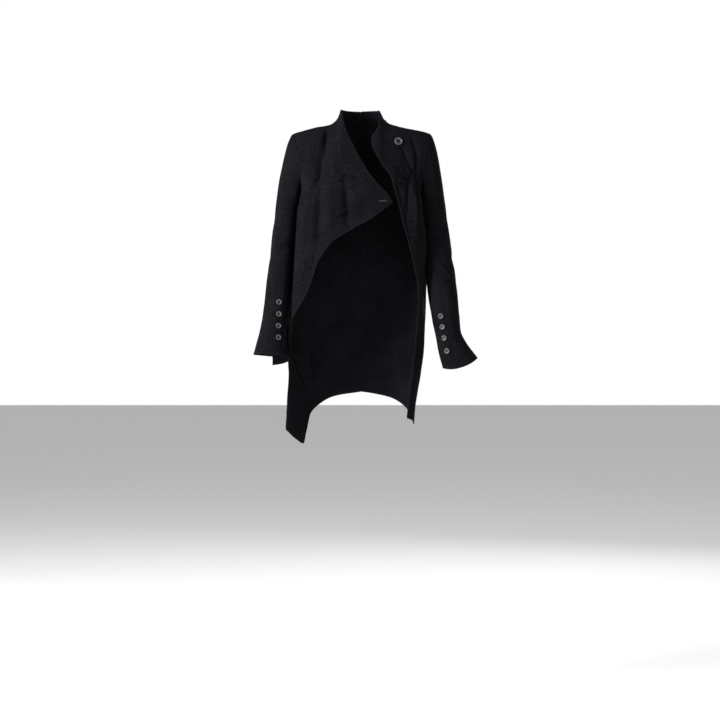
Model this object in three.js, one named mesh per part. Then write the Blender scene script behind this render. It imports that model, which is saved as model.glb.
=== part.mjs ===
// An asymmetrical black jacket in its hollow worn form. Millimetres, +Z up.
// The wearer faces -Y, and +X is the wearer's left. The origin lies between the two
// shoulder seams' neck points, where the jacket hangs on the shoulders.
import * as THREE from 'three';

// ---------------------------------------------------------------- driving sizes

const WALL = 2;                 // cloth with its seam allowances
const SEAM_GAP = 0.3;           // between two pieces at a seam
const PLAN_POWER = 0.84;        // below 1 the body's plan is squarer than an ellipse
const SHOULDER_FADE = 170;      // the shoulder's slope dies out over this drop
const RIDGE_FADE = 60;          // folds start this far below the shoulder
const NECK = { halfWidth: 66, depth: 55, rise: 12 };
const UNDERARM = { drop: 165, angle: 91 };
const SIDE_BLEND = 0.25;         // the two half widths blend over this sine each side of the middle
// The hollow that the arm presses into the side, in degrees, and how it moves forward lower down.
const TUCK = { width: 15, top: 91, low: 84, from: 300, to: 520 };

const table = (names, rows) => {
  const keys = names.split(' ');
  return rows.map((row) => Object.fromEntries(keys.map((key, i) => [key, row[i]])));
};

// The body's plan at each drop below the shoulder: half widths, depths and arm hollows.
const BODY = table('drop right left frontRight frontLeft back tuckRight tuckLeft', [
  [0, 213, 213, 0, 0, 0, 0, 0],
  [4, 212, 212, 20, 20, 18, 0, 0],
  [14, 211, 211, 33, 33, 32, 0, 0],
  [35, 209, 209, 47, 47, 48, 0, 0],
  [65, 203, 203, 62, 62, 64, 0, 0],
  [100, 191, 191, 81, 81, 79, 0, 0],
  [135, 174, 174, 101, 101, 89, 4, 4],
  [165, 167, 167, 115, 115, 94, 14, 14],
  [205, 181, 177, 127, 125, 95, 33, 31],
  [260, 194, 185, 131, 121, 90, 50, 44],
  [330, 203, 193, 127, 110, 84, 57, 51],
  [400, 210, 191, 121, 92, 92, 54, 42],
  [460, 213, 183, 117, 78, 104, 47, 24],
  [540, 211, 169, 113, 68, 118, 28, 6],
  [600, 193, 160, 110, 62, 124, 8, 0],
  [660, 187, 151, 108, 60, 127, 2, 0],
  [740, 190, 139, 104, 60, 130, 0, 0],
  [850, 196, 131, 100, 60, 133, 0, 0],
]);

// The top line of each shoulder, with the grown-on stand that climbs the neck.
const TOP_RIGHT = table('out rise', [
  [0, 42], [48, 42], [53, 40], [57, 29], [62, 17], [70, 7.5],
  [83, 0.5], [125, -8], [153, -15.5], [177, -23], [184, -29], [215, -60],
]);
const TOP_LEFT = table('out rise', [
  [0, 39], [42, 39], [46, 37], [51, 28], [56, 18], [63, 10],
  [74, 2.5], [100, -5.5], [145, -14], [177, -22.5], [184, -29], [215, -60],
]);

// Armhole: how far its edge stands from the side line, in degrees.
const ARMHOLE = table('drop front back', [
  [0, 38.5, 36.5], [30, 40.5, 38.5], [65, 41, 38], [100, 37, 34],
  [130, 29.5, 27], [150, 20, 18], [160, 11.5, 10.5], [165, 0, 0],
]);

// Free front edges, as the angle round the body at each drop.
const EDGE_RIGHT = table('drop angle', [
  [0, -10.9], [27, -10], [54, -8], [86, -3.7], [110, -0.5], [134, 3.1], [161, 10],
  [191, 18.4], [205, 20.9], [209, 21.7], [211, 22.2], [213, 21.5], [226, 16.2],
  [253, 5.2], [283, -5.8], [313, -18.3],
  [342, -25], [372, -29.9], [403, -32.7], [433, -36.4], [461, -41.7], [482, -48.3],
  [506, -58], [526, -70], [545, -81], [562, -91], [585, -97], [597, -105],
  [612, -115], [633, -121.6], [655, -128], [682, -133],
]);
const EDGE_LEFT = table('drop angle', [
  [0, 9.1], [38, 9.4], [52, 7.5], [63, 5.3], [76, 5.2], [97, 7.9], [118, 13.4],
  [130, 18.2], [144, 21.9], [160, 24.3], [190, 27], [218, 28.3], [261, 30.4],
  [288, 33.2], [321, 36], [353, 39], [377, 41.7], [411, 46.5], [480, 52],
  [560, 55], [660, 56.5], [762, 56],
]);

// Hem drop round the back, by angle.
const HEM_RIGHT = table('angle drop', [
  [-180, 695], [-160, 708], [-144.2, 738], [-139, 756], [-138, 768], [-135.2, 806],
  [-133.2, 832], [-122, 819], [-110, 804], [-96, 791],
]);
const HEM_LEFT = table('angle drop', [
  [54, 760], [72, 766], [90, 777], [97, 772], [120, 743], [150, 711], [180, 695],
]);
const HEM_NOMINAL = 695;
const HEM_SHIFT_FROM = 470;      // rows below this drop slant towards the hem

// Side seams and the overlap where the right back hangs free outside the right front.
const SIDE_RIGHT = table('drop angle', [[165, -91], [230, -106], [300, -118], [700, -118]]);
const SIDE_LEFT = table('drop angle', [[165, 91], [260, 96], [800, 97]]);
const VENT = { from: 440, open: 475, wrapped: 545, tail: -96.5, underlap: -137,
  lift: 5.5, liftFrom: -168, liftEase: 26 };

// Large folds: a soft ridge (depth above 0) or trough (below 0) that runs down the cloth.
const FOLDS = table('angleTop angleEnd from to ease width depth', [
  [-20, -41, 5, 170, 60, 5, -5],
  [-11, -8, 150, 275, 45, 5.5, -6],
  [-37, -30, 165, 330, 60, 5, -4],
  [-21, -20, 170, 310, 50, 6, 4],
  [-60, -66, 200, 520, 110, 6, -5],
  [24, 44, 45, 150, 35, 5, -6],
  [34, 62, 15, 190, 50, 4.5, -4],
  [31, 33, 150, 240, 40, 4, -4],
  [45, 48, 160, 330, 60, 6, 5],
  [63, 71, 200, 520, 100, 6, -6],
  [150, 152, 150, 650, 120, 7, -5],
  [-152, -150, 150, 650, 120, 7, -5],
  [125, 122, 300, 770, 120, 7, 5],
  [-126, -124, 540, 840, 110, 6, 4],
]);

// Sleeve rings below the armhole: outer and inner points, the depth's middle and half,
// how far the front edge dips and how far the back hangs lower.
const SLEEVE_RIGHT = table('along outX outZ inX inZ mid half dip hang', [
  [0, -222, -211, -160, -222, 0, 46, 0, 0],
  [93, -233, -304, -171, -311, -3, 44, 0, 0],
  [187, -244, -398, -181, -402, -9, 42, 0, 0],
  [280, -254, -491, -191, -494, -17, 41, 0, 0],
  [328, -263, -538, -195, -541, -21, 42, 0, 4],
  [359, -271, -568, -195, -572, -23, 44, -2, 12],
  [389, -279, -597, -187, -606, -25, 46, -6, 21],
]);
const SLEEVE_LEFT = table('along outX outZ inX inZ mid half dip hang', [
  [0, 217, -211, 155, -220, 0, 46, 0, 0],
  [93, 230, -304, 161, -312, -3, 44, 0, 0],
  [187, 243, -398, 169, -406, -9, 42, 0, 0],
  [280, 252, -491, 183, -502, -17, 41, 0, 0],
  [328, 256, -536, 193, -552, -21, 42, 0, 0],
  [362, 270, -567, 200, -590, -23, 44, 5, 2],
  [407, 299, -605, 211, -632, -25, 46, 11, 5],
]);
const SLEEVE_SEAM = { front: 131, back: 270, plain: 0.35, cap: 0.4, vent: 0.5,
  ventFrom: 280, ventTo: 350 };
// Sleeve cap: its rows, and the way it leaves the armhole at the shoulder and under the arm.
const CAP = { lift: 0.34, reach: 4, rowsAt: [0, 0.12, 0.27, 0.44, 0.62, 0.81],
  out: { shoulder: 0.9, underarm: 0.6 }, down: { shoulder: 0.45, underarm: 0.8 } };
const SLEEVE_GRID = { rows: 13, top: 15, under: 8 };
// Soft elbow and upper-arm folds on a sleeve.
const SLEEVE_FOLDS = table('phi along phiWidth alongWidth slant depth', [
  [60, 60, 34, 12, 0.5, -2.5],
  [100, 110, 30, 9, -0.6, -2],
  [40, 150, 30, 11, 0.4, -2.5],
  [250, 120, 34, 11, 0.5, -2.5],
  [300, 70, 34, 12, -0.4, -2.5],
]);

const CUFF_BUTTON = { diameter: 14, thickness: 3, hole: 1.7, holeOut: 2.3, sides: 16 };
const NECK_BUTTON = { diameter: 21, thickness: 4, hole: 2.4, holeOut: 3.3, sides: 20 };
const BUTTON_SEAT = 0.35;
// Stand collar: its height at the back, its seam to the back neck, the angle it starts at,
// how soon its top levels out round the neck, and its outward lean.
const STAND = { back: 40, seam: 1, start: 0.4, level: 1.4, lean: 0.45, rows: 5, columns: 12 };
const NECK_BUTTON_AT = { angle: 23.1, drop: 46.5 };
// Cuff buttons: place round the sleeve, its change from one to the next, start and pitch.
const CUFF_BUTTONS_RIGHT = { phi: 99.5, turn: 4.8, from: 249, pitch: 30.8 };
const CUFF_BUTTONS_LEFT = { phi: 109, turn: 1, from: 280, pitch: 27.3 };
const CUFF_BUTTON_COUNT = 4;

// ---------------------------------------------------------------- materials

const CLOTH = new THREE.MeshStandardMaterial({ color: 0x17171a, roughness: 0.85, metalness: 0 });
const HORN = new THREE.MeshStandardMaterial({ color: 0x4a4a4c, roughness: 0.45, metalness: 0 });

// ---------------------------------------------------------------- small maths

const radians = THREE.MathUtils.degToRad;
const clamp = THREE.MathUtils.clamp;
const smooth = (t) => THREE.MathUtils.smoothstep(t, 0, 1);
const power = (v) => Math.sign(v) * Math.abs(v) ** PLAN_POWER;
const bell = (t) => Math.exp(-0.5 * t * t);
const mix = THREE.MathUtils.lerp;

// A curve through one column of a table, which never overshoots its rows.
function curve(rows, place, value) {
  const at = rows.map((row) => row[place]);
  const to = rows.map((row) => row[value]);
  const slope = at.slice(1).map((next, i) => (to[i + 1] - to[i]) / (next - at[i]));
  const tangent = at.map((_, i) => {
    const [before, after] = [slope[i - 1], slope[i]];
    if (before === undefined || after === undefined) return before ?? after;
    return before * after <= 0 ? 0 : (2 * before * after) / (before + after);
  });
  return (where) => {
    const x = clamp(where, at[0], at[at.length - 1]);
    let i = 0;
    while (i < slope.length - 1 && x > at[i + 1]) i += 1;
    const span = at[i + 1] - at[i];
    const u = (x - at[i]) / span;
    const v = 1 - u;
    return (1 + 2 * u) * v * v * to[i] + u * v * v * span * tangent[i]
      + u * u * (3 - 2 * u) * to[i + 1] - u * u * v * span * tangent[i + 1];
  };
}

const body = Object.fromEntries(
  ['right', 'left', 'frontRight', 'frontLeft', 'back', 'tuckRight', 'tuckLeft']
    .map((name) => [name, curve(BODY, 'drop', name)]),
);
const topRight = curve(TOP_RIGHT, 'out', 'rise');
const topLeft = curve(TOP_LEFT, 'out', 'rise');
const armholeFront = curve(ARMHOLE, 'drop', 'front');
const armholeBack = curve(ARMHOLE, 'drop', 'back');
const edgeRight = curve(EDGE_RIGHT, 'drop', 'angle');
const edgeLeft = curve(EDGE_LEFT, 'drop', 'angle');
const hemRight = curve(HEM_RIGHT, 'angle', 'drop');
const hemLeft = curve(HEM_LEFT, 'angle', 'drop');
const sideRight = curve(SIDE_RIGHT, 'drop', 'angle');
const sideLeft = curve(SIDE_LEFT, 'drop', 'angle');

// ---------------------------------------------------------------- the body's shell

function foldPush(angle, drop) {
  return FOLDS.reduce((push, fold) => {
    const t = clamp((drop - fold.from) / (fold.to - fold.from), 0, 1);
    const centre = mix(fold.angleTop, fold.angleEnd, t);
    const start = smooth((drop - fold.from) / fold.ease);
    const end = smooth((fold.to - drop) / fold.ease);
    return push + fold.depth * bell((angle - centre) / fold.width) * start * end;
  }, 0);
}

// How far the right back stands outside the right front where the two overlap.
function ventLift(angle, drop) {
  const open = smooth((drop - VENT.from) / (VENT.open - VENT.from));
  return VENT.lift * open * smooth((angle - VENT.liftFrom) / VENT.liftEase);
}

// A point of the cloth's middle surface. Angle 0 is the front, and below 0 is the right.
function shell(panel, angle, drop) {
  const sine = Math.sin(radians(angle));
  const cosine = Math.cos(radians(angle));
  const toLeft = smooth((sine + SIDE_BLEND) / (2 * SIDE_BLEND));
  const half = mix(body.right(drop), body.left(drop), toLeft);
  const front = panel === 'frontLeft' ? body.frontLeft(drop) : body.frontRight(drop);
  const x = half * power(sine);
  const tuck = (sine < 0 ? body.tuckRight : body.tuckLeft)(drop);
  const tuckAt = mix(TUCK.top, TUCK.low, smooth((drop - TUCK.from) / (TUCK.to - TUCK.from)));
  let push = foldPush(angle, drop) - tuck * bell((Math.abs(angle) - tuckAt) / TUCK.width);
  push *= smooth(drop / RIDGE_FADE);
  const fade = 1 - smooth(drop / SHOULDER_FADE);
  let rise = (x < 0 ? topRight : topLeft)(Math.abs(x));
  let behind = body.back(drop) * power(Math.max(-cosine, 0));
  if (panel === 'backRight' || panel === 'backLeft') {
    const across = Math.min(Math.abs(x / NECK.halfWidth), 1);
    const hollow = NECK.depth * Math.sqrt(1 - across * across);
    behind = Math.sqrt(behind * behind + hollow * hollow * fade);
    rise = Math.min(rise, NECK.rise);
  }
  if (panel === 'backRight') push += ventLift(angle, drop);
  const y = behind - front * power(Math.max(cosine, 0));
  return new THREE.Vector3(x + push * sine, y - push * cosine, rise * fade - drop);
}

const STEP = { angle: 0.4, drop: 0.8 };

function shellNormal(panel, angle, drop) {
  const above = Math.max(drop - STEP.drop, 0);
  const down = shell(panel, angle, drop + STEP.drop).sub(shell(panel, angle, above));
  const round = shell(panel, angle + STEP.angle, drop)
    .sub(shell(panel, angle - STEP.angle, drop));
  return down.cross(round).normalize();
}

// ---------------------------------------------------------------- cloth walls

// A closed wall from rows of { point, normal }, half its thickness to each side.
function clothWall(rows, thickness = WALL) {
  const height = rows.length;
  const width = rows[0].length;
  const positions = [];
  for (const side of [0.5, -0.5]) {
    for (const row of rows) {
      for (const { point, normal } of row) {
        const at = point.clone().addScaledVector(normal, side * thickness);
        positions.push(at.x, at.y, at.z);
      }
    }
  }
  const outer = (i, j) => i * width + j;
  const inner = (i, j) => (height + i) * width + j;
  const middle = [Math.floor(height / 2), Math.floor(width / 2)];
  const here = rows[middle[0]][middle[1]];
  const down = rows[middle[0] + 1][middle[1]].point.clone().sub(here.point);
  const across = rows[middle[0]][middle[1] + 1].point.clone().sub(here.point);
  const flip = down.cross(across).dot(here.normal) < 0;
  const index = [];
  const quad = (a, b, c, d) => {
    index.push(...(flip ? [a, c, b, a, d, c] : [a, b, c, a, c, d]));
  };
  for (let i = 0; i + 1 < height; i += 1) {
    for (let j = 0; j + 1 < width; j += 1) {
      quad(outer(i, j), outer(i + 1, j), outer(i + 1, j + 1), outer(i, j + 1));
      quad(inner(i, j), inner(i, j + 1), inner(i + 1, j + 1), inner(i + 1, j));
    }
    quad(outer(i, 0), inner(i, 0), inner(i + 1, 0), outer(i + 1, 0));
    quad(outer(i + 1, width - 1), inner(i + 1, width - 1), inner(i, width - 1), outer(i, width - 1));
  }
  for (let j = 0; j + 1 < width; j += 1) {
    quad(outer(0, j + 1), inner(0, j + 1), inner(0, j), outer(0, j));
    const last = height - 1;
    quad(outer(last, j), inner(last, j), inner(last, j + 1), outer(last, j + 1));
  }
  const geometry = new THREE.BufferGeometry();
  geometry.setAttribute('position', new THREE.Float32BufferAttribute(positions, 3));
  geometry.setIndex(index);
  geometry.computeVertexNormals();
  return geometry;
}

const CENTRE_BACK = 180;
const range = (count) => Array.from({ length: count + 1 }, (_, i) => i / count);

// Rows of a body panel. Each row runs from one angle to another at its own drop.
function panelRows(panel, drops, columns, from, to, hem) {
  return drops.map((nominal) => columns.map((u) => {
    const start = from(nominal);
    const angle = mix(start, to(nominal), u);
    const slant = smooth((nominal - HEM_SHIFT_FROM) / (HEM_NOMINAL - HEM_SHIFT_FROM));
    const drop = hem ? nominal + (hem(angle) - HEM_NOMINAL) * slant : nominal;
    const point = shell(panel, angle, drop);
    const normal = shellNormal(panel, angle, drop);
    const atFront = panel.startsWith('front');
    if (nominal === 0 && (atFront || Math.abs(point.x) >= NECK.halfWidth)) {
      normal.setY(0).normalize();
      point.y += atFront ? -SEAM_GAP / 2 : SEAM_GAP / 2;
    }
    if (Math.abs(angle) === CENTRE_BACK) {
      normal.setX(0).normalize();
      point.x = Math.sign(angle) * SEAM_GAP / 2;
    }
    return { point, normal };
  }));
}

// Degrees that half a seam's gap takes up at the side of the body.
const SEAM_ANGLE = 0.06;
const DROPS_TOP = [0, 4, 12, 25, 42, 64, 88, 110, 128, 142, 152, 159, 165];

const armEdge = (side, seam, curveOf, sign) => (drop) => (
  drop < UNDERARM.drop ? sign * (UNDERARM.angle - curveOf(drop)) : seam(drop)
) + side * SEAM_ANGLE;

const DROPS_RIGHT = [...DROPS_TOP, 176, 190, 202, 211, 226, 239, 253, 268, 283, 298, 313, 328, 345,
  365, 385, 405, 425, 440];
const DROPS_LEFT = [...DROPS_TOP, 180, 196, 214, 234, 256, 280, 305, 330, 360, 390, 420, 450, 480,
  510, 540, 570, 600, 630, 660, HEM_NOMINAL];

const FRONT_COLUMNS = { right: 13, left: 10 };
// Columns of each back, with one at the neck's corner, and closer together at the tail's point.
const BACK_COLUMNS = [0, 0.13, 0.26, 0.39, 0.5, 0.61, 0.7267, 0.76, 0.82, 0.91, 1];
const TAIL_COLUMNS = [0, 0.09, 0.18, 0.24, 0.2733, 0.34, 0.428, 0.491, 0.503, 0.537, 0.56, 0.62,
  0.69, 0.76, 0.83, 0.89, 0.945, 1];

function frontRight() {
  const drops = [...DROPS_RIGHT, 450, 462, 478, 494, 510, 526, 544, 562, 580, 597, 614, 633, 655, 680];
  const back = armEdge(1, sideRight, armholeFront, -1);
  const wrap = (drop) => smooth((drop - VENT.open) / (VENT.wrapped - VENT.open));
  const behind = (drop) => mix(back(drop), VENT.underlap, wrap(drop));
  return clothWall(panelRows('frontRight', drops, range(FRONT_COLUMNS.right), behind, edgeRight, null));
}

function frontLeft() {
  const side = armEdge(-1, sideLeft, armholeFront, 1);
  const columns = range(FRONT_COLUMNS.left);
  return clothWall(panelRows('frontLeft', DROPS_LEFT, columns, edgeLeft, side, hemLeft));
}

function backRight() {
  const side = armEdge(-1, sideRight, (drop) => -armholeBack(drop), -1);
  const tail = (drop) => {
    const wrap = smooth((drop - VENT.open) / (VENT.wrapped - VENT.open));
    return mix(side(drop), VENT.tail, wrap);
  };
  const drops = [...DROPS_RIGHT, 452, 463, 475, 490, 505, 520, 545, 570, 595, 620, 645, 670, HEM_NOMINAL];
  const rows = panelRows('backRight', drops, TAIL_COLUMNS, () => -CENTRE_BACK, tail, hemRight);
  return clothWall(rows);
}

function backLeft() {
  const side = armEdge(1, sideLeft, (drop) => -armholeBack(drop), 1);
  return clothWall(panelRows('backLeft', DROPS_LEFT, BACK_COLUMNS, side, () => CENTRE_BACK, hemLeft));
}

// ---------------------------------------------------------------- stand collar

// Half of the stand, from the front's neck seam round the back to the centre back.
function stand(side) {
  const [top, panel, edge] = side < 0
    ? [topRight, 'frontRight', edgeRight] : [topLeft, 'frontLeft', edgeLeft];
  const tip = Math.abs(shell(panel, edge(0), 0).x);
  const foot = NECK.rise + STAND.seam;
  const rows = range(STAND.rows).map((h) => {
    const out = mix(tip, NECK.halfWidth, h);
    return range(STAND.columns).map((t) => {
      const turn = radians(mix(STAND.start, 90, t));
      const rise = mix(Math.max(top(out), foot), mix(STAND.back, foot, h), smooth(t * STAND.level));
      const point = new THREE.Vector3(
        side * (t === 1 ? SEAM_GAP / 2 : out * Math.cos(turn)),
        out * (NECK.depth / NECK.halfWidth) * Math.sin(turn),
        rise,
      );
      const normal = new THREE.Vector3(side * Math.cos(turn), Math.sin(turn), STAND.lean);
      normal.normalize();
      return { point, normal };
    });
  });
  return clothWall(rows);
}

// ---------------------------------------------------------------- sleeves

function ringPoint(rings, phi, along) {
  const at = (name) => rings[name](along);
  const cosine = Math.cos(radians(phi));
  const sine = Math.sin(radians(phi));
  const middleX = (at('outX') + at('inX')) / 2;
  const middleZ = (at('outZ') + at('inZ')) / 2;
  return new THREE.Vector3(
    mix(middleX, at('outX'), power(cosine)),
    at('mid') - at('half') * power(sine),
    mix(middleZ, at('outZ'), power(cosine)) - at('dip') * Math.max(sine, 0) ** 2,
  );
}

// The armhole's loop: phi 0 is the shoulder, 90 the front and 180 the underarm.
function armholePoint(side, phi) {
  const drop = UNDERARM.drop * (1 - Math.cos(radians(phi))) / 2;
  const front = Math.sin(radians(phi)) >= 0;
  const inset = (front ? -1 : 1) * (front ? armholeFront : armholeBack)(drop);
  const panel = front ? (side < 0 ? 'frontRight' : 'frontLeft') : (side < 0 ? 'backRight' : 'backLeft');
  const point = shell(panel, side * (UNDERARM.angle + inset), drop);
  const low = ((1 - Math.cos(radians(phi))) / 2) ** 3;
  point.x += side * (2 * SEAM_GAP + low * (WALL + SEAM_GAP));
  return point;
}

function sleeve(side, rows) {
  const rings = Object.fromEntries(['outX', 'outZ', 'inX', 'inZ', 'mid', 'half', 'dip', 'hang']
    .map((name) => [name, curve(rows, 'along', name)]));
  const length = rows[rows.length - 1].along;

  // A point at phi round the sleeve. Below 0, along runs over the cap, from -1 at the armhole.
  function surface(phi, along) {
    if (along >= 0) {
      const point = ringPoint(rings, phi, along);
      const centre = ringPoint(rings, phi + 180, along).add(point).multiplyScalar(0.5);
      const push = SLEEVE_FOLDS.reduce((sum, fold) => {
        const away = THREE.MathUtils.euclideanModulo(phi - fold.phi + 180, 360) - 180;
        const line = (along - fold.along - fold.slant * away) / fold.alongWidth;
        return sum + fold.depth * bell(away / fold.phiWidth) * bell(line);
      }, 0);
      return point.addScaledVector(point.clone().sub(centre).normalize(), push);
    }
    const start = armholePoint(side, phi);
    const end = surface(phi, 0);
    const chord = start.distanceTo(end);
    const low = (1 - Math.cos(radians(phi))) / 2;
    const leave = new THREE.Vector3(
      side * mix(CAP.out.shoulder, CAP.out.underarm, low),
      0,
      -mix(CAP.down.shoulder, CAP.down.underarm, low),
    );
    const arrive = surface(phi, CAP.reach).sub(end).multiplyScalar(chord / CAP.reach);
    const u = 1 + along;
    const v = 1 - u;
    return start.multiplyScalar((1 + 2 * u) * v * v)
      .addScaledVector(leave, u * v * v * chord * CAP.lift)
      .addScaledVector(end, u * u * (3 - 2 * u))
      .addScaledVector(arrive, -u * u * v);
  }

  function normal(phi, along) {
    const step = along < 0 ? 0.01 : 1;
    const low = Math.max(along - step, along < 0 ? -1 : 0);
    const down = surface(phi, along + step).sub(surface(phi, low));
    const round = surface(phi + 1, along).sub(surface(phi - 1, along));
    return down.cross(round).multiplyScalar(-side).normalize();
  }

  // The under sleeve's cuff hangs lower towards its back corner.
  function piece(from, to, columns, hangs) {
    const alongs = [...CAP.rowsAt.map((u) => u - 1), ...range(SLEEVE_GRID.rows).map((t) => t * length)];
    return clothWall(alongs.map((along) => range(columns).map((t) => {
      const phi = mix(from + seamAngle(along), to - seamAngle(along), t);
      const point = surface(phi, along);
      if (hangs && along > 0) {
        const down = point.clone().sub(surface(phi, along - 1));
        point.addScaledVector(down, rings.hang(along) * Math.max((phi - 180) / (to - 180), 0));
      }
      return { point, normal: normal(phi, along) };
    })));
  }
  return { surface, normal, piece, length };
}

// Half of a sleeve seam's gap in degrees: wider in the cap's tight turn and at the cuff's vent.
function seamAngle(along) {
  const { plain, cap, vent, ventFrom, ventTo } = SLEEVE_SEAM;
  return plain + cap * smooth(-2 * along) + vent * smooth((along - ventFrom) / (ventTo - ventFrom));
}

function sleevePieces(sleeveForm) {
  const { front, back } = SLEEVE_SEAM;
  return {
    top: sleeveForm.piece(back - 360, front, SLEEVE_GRID.top, false),
    under: sleeveForm.piece(front, back, SLEEVE_GRID.under, true),
  };
}

// ---------------------------------------------------------------- buttons

function polygon(target, radius, sides, x = 0, y = 0) {
  for (let i = 0; i < sides; i += 1) {
    const turn = (2 * Math.PI * i) / sides;
    const [px, py] = [x + radius * Math.cos(turn), y + radius * Math.sin(turn)];
    if (i === 0) target.moveTo(px, py);
    else target.lineTo(px, py);
  }
  target.closePath();
  return target;
}

function buttonGeometry({ diameter, thickness, hole, holeOut, sides }) {
  const disc = polygon(new THREE.Shape(), diameter / 2, sides);
  for (const [x, y] of [[1, 1], [-1, 1], [-1, -1], [1, -1]]) {
    const out = holeOut / Math.SQRT2;
    disc.holes.push(polygon(new THREE.Path(), hole / 2, 6, x * out, y * out));
  }
  return new THREE.ExtrudeGeometry(disc, { depth: thickness, bevelEnabled: false });
}

// ---------------------------------------------------------------- the jacket

const jacket = new THREE.Group();

function add(name, geometry, material) {
  const mesh = new THREE.Mesh(geometry, material);
  mesh.name = name;
  jacket.add(mesh);
  return mesh;
}

function addButton(name, size, point, normal) {
  const mesh = add(name, buttonGeometry(size), HORN);
  mesh.position.copy(point).addScaledVector(normal, WALL / 2 + BUTTON_SEAT);
  mesh.quaternion.setFromUnitVectors(new THREE.Vector3(0, 0, 1), normal);
}

add('front_right', frontRight(), CLOTH);
add('front_left', frontLeft(), CLOTH);
add('back_right', backRight(), CLOTH);
add('back_left', backLeft(), CLOTH);
add('stand_right', stand(-1), CLOTH);
add('stand_left', stand(1), CLOTH);

const SLEEVES = [
  { name: 'right', form: sleeve(-1, SLEEVE_RIGHT), buttons: CUFF_BUTTONS_RIGHT },
  { name: 'left', form: sleeve(1, SLEEVE_LEFT), buttons: CUFF_BUTTONS_LEFT },
];
for (const { name, form, buttons } of SLEEVES) {
  const { top, under } = sleevePieces(form);
  add(`sleeve_${name}_top`, top, CLOTH);
  add(`sleeve_${name}_under`, under, CLOTH);
  for (let i = 0; i < CUFF_BUTTON_COUNT; i += 1) {
    const along = buttons.from + i * buttons.pitch;
    const phi = buttons.phi + i * buttons.turn;
    const place = [form.surface(phi, along), form.normal(phi, along)];
    addButton(`button_cuff_${name}_${i + 1}`, CUFF_BUTTON, ...place);
  }
}
addButton(
  'button_neck',
  NECK_BUTTON,
  shell('frontLeft', NECK_BUTTON_AT.angle, NECK_BUTTON_AT.drop),
  shellNormal('frontLeft', NECK_BUTTON_AT.angle, NECK_BUTTON_AT.drop),
);

export default jacket;
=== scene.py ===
"""The looks of an asymmetrical black jacket in its hollow worn form.

The wearer faces -Y and +X is the wearer's left. Tables and sizes of the cut are in
millimetres, as on a paper pattern, and every finished mesh is in metres.
"""
import logging
import math
from dataclasses import dataclass, field
from enum import Enum
from typing import Callable, Sequence

import bmesh
import bpy
import numpy as np
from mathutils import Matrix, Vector
from mathutils.bvhtree import BVHTree
from mathutils.kdtree import KDTree

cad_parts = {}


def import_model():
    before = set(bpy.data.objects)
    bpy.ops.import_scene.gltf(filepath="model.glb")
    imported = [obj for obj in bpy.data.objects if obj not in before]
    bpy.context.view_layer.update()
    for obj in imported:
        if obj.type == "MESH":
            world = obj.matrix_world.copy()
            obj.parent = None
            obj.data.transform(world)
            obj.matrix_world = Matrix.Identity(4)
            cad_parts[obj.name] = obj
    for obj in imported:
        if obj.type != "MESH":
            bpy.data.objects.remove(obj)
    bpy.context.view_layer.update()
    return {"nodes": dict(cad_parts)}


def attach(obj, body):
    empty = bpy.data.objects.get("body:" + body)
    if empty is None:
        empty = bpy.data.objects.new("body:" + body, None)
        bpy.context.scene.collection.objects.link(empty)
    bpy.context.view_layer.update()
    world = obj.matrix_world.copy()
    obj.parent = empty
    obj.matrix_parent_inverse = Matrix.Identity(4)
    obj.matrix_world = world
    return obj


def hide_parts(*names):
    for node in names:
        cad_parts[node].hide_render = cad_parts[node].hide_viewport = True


LOG = logging.getLogger("jacket")
MM = 0.001

Array = np.ndarray
Curve = Callable[[Array], Array]
Rows = Sequence[Sequence[float]]
Span = tuple[float, float]
Socket = bpy.types.NodeSocket
Tree = bpy.types.NodeTree
Node = bpy.types.Node
Material = bpy.types.Material
Mesh = bpy.types.Mesh
Piece = bpy.types.Object


class Side(Enum):
    """A side of the wearer, as the sign of X."""

    RIGHT = -1
    LEFT = 1


class Panel(Enum):
    """The four panels of the body, named as their solids are."""

    FRONT_RIGHT = "front_right"
    FRONT_LEFT = "front_left"
    BACK_RIGHT = "back_right"
    BACK_LEFT = "back_left"

    @property
    def is_back(self) -> bool:
        """Whether the panel lies behind."""
        return self in (Panel.BACK_RIGHT, Panel.BACK_LEFT)

    @classmethod
    def of(cls, side: Side, behind: bool) -> "Panel":
        """The panel on one side, behind or in front."""
        return cls(f"{'back' if behind else 'front'}_{side.name.lower()}")


class Edge(Enum):
    """What a panel's border is at one place."""

    SEAM = 0.0
    FREE = 1.0


# ------------------------------------------------------------------ small maths

LATTICE = 64


def smooth(t: Array) -> Array:
    """An eased step from 0 to 1."""
    t = np.clip(t, 0.0, 1.0)
    return t * t * (3.0 - 2.0 * t)


def bell(t: Array) -> Array:
    """A soft bump of height 1 at 0."""
    return np.exp(-0.5 * np.square(t))


def mix(low: Array, high: Array, share: Array) -> Array:
    """The value a share of the way from low to high."""
    return low + (high - low) * share


def unit(vectors: Array) -> Array:
    """Vectors of length 1 in the same directions."""
    return vectors / np.maximum(np.linalg.norm(vectors, axis=-1, keepdims=True), 1e-12)


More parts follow.
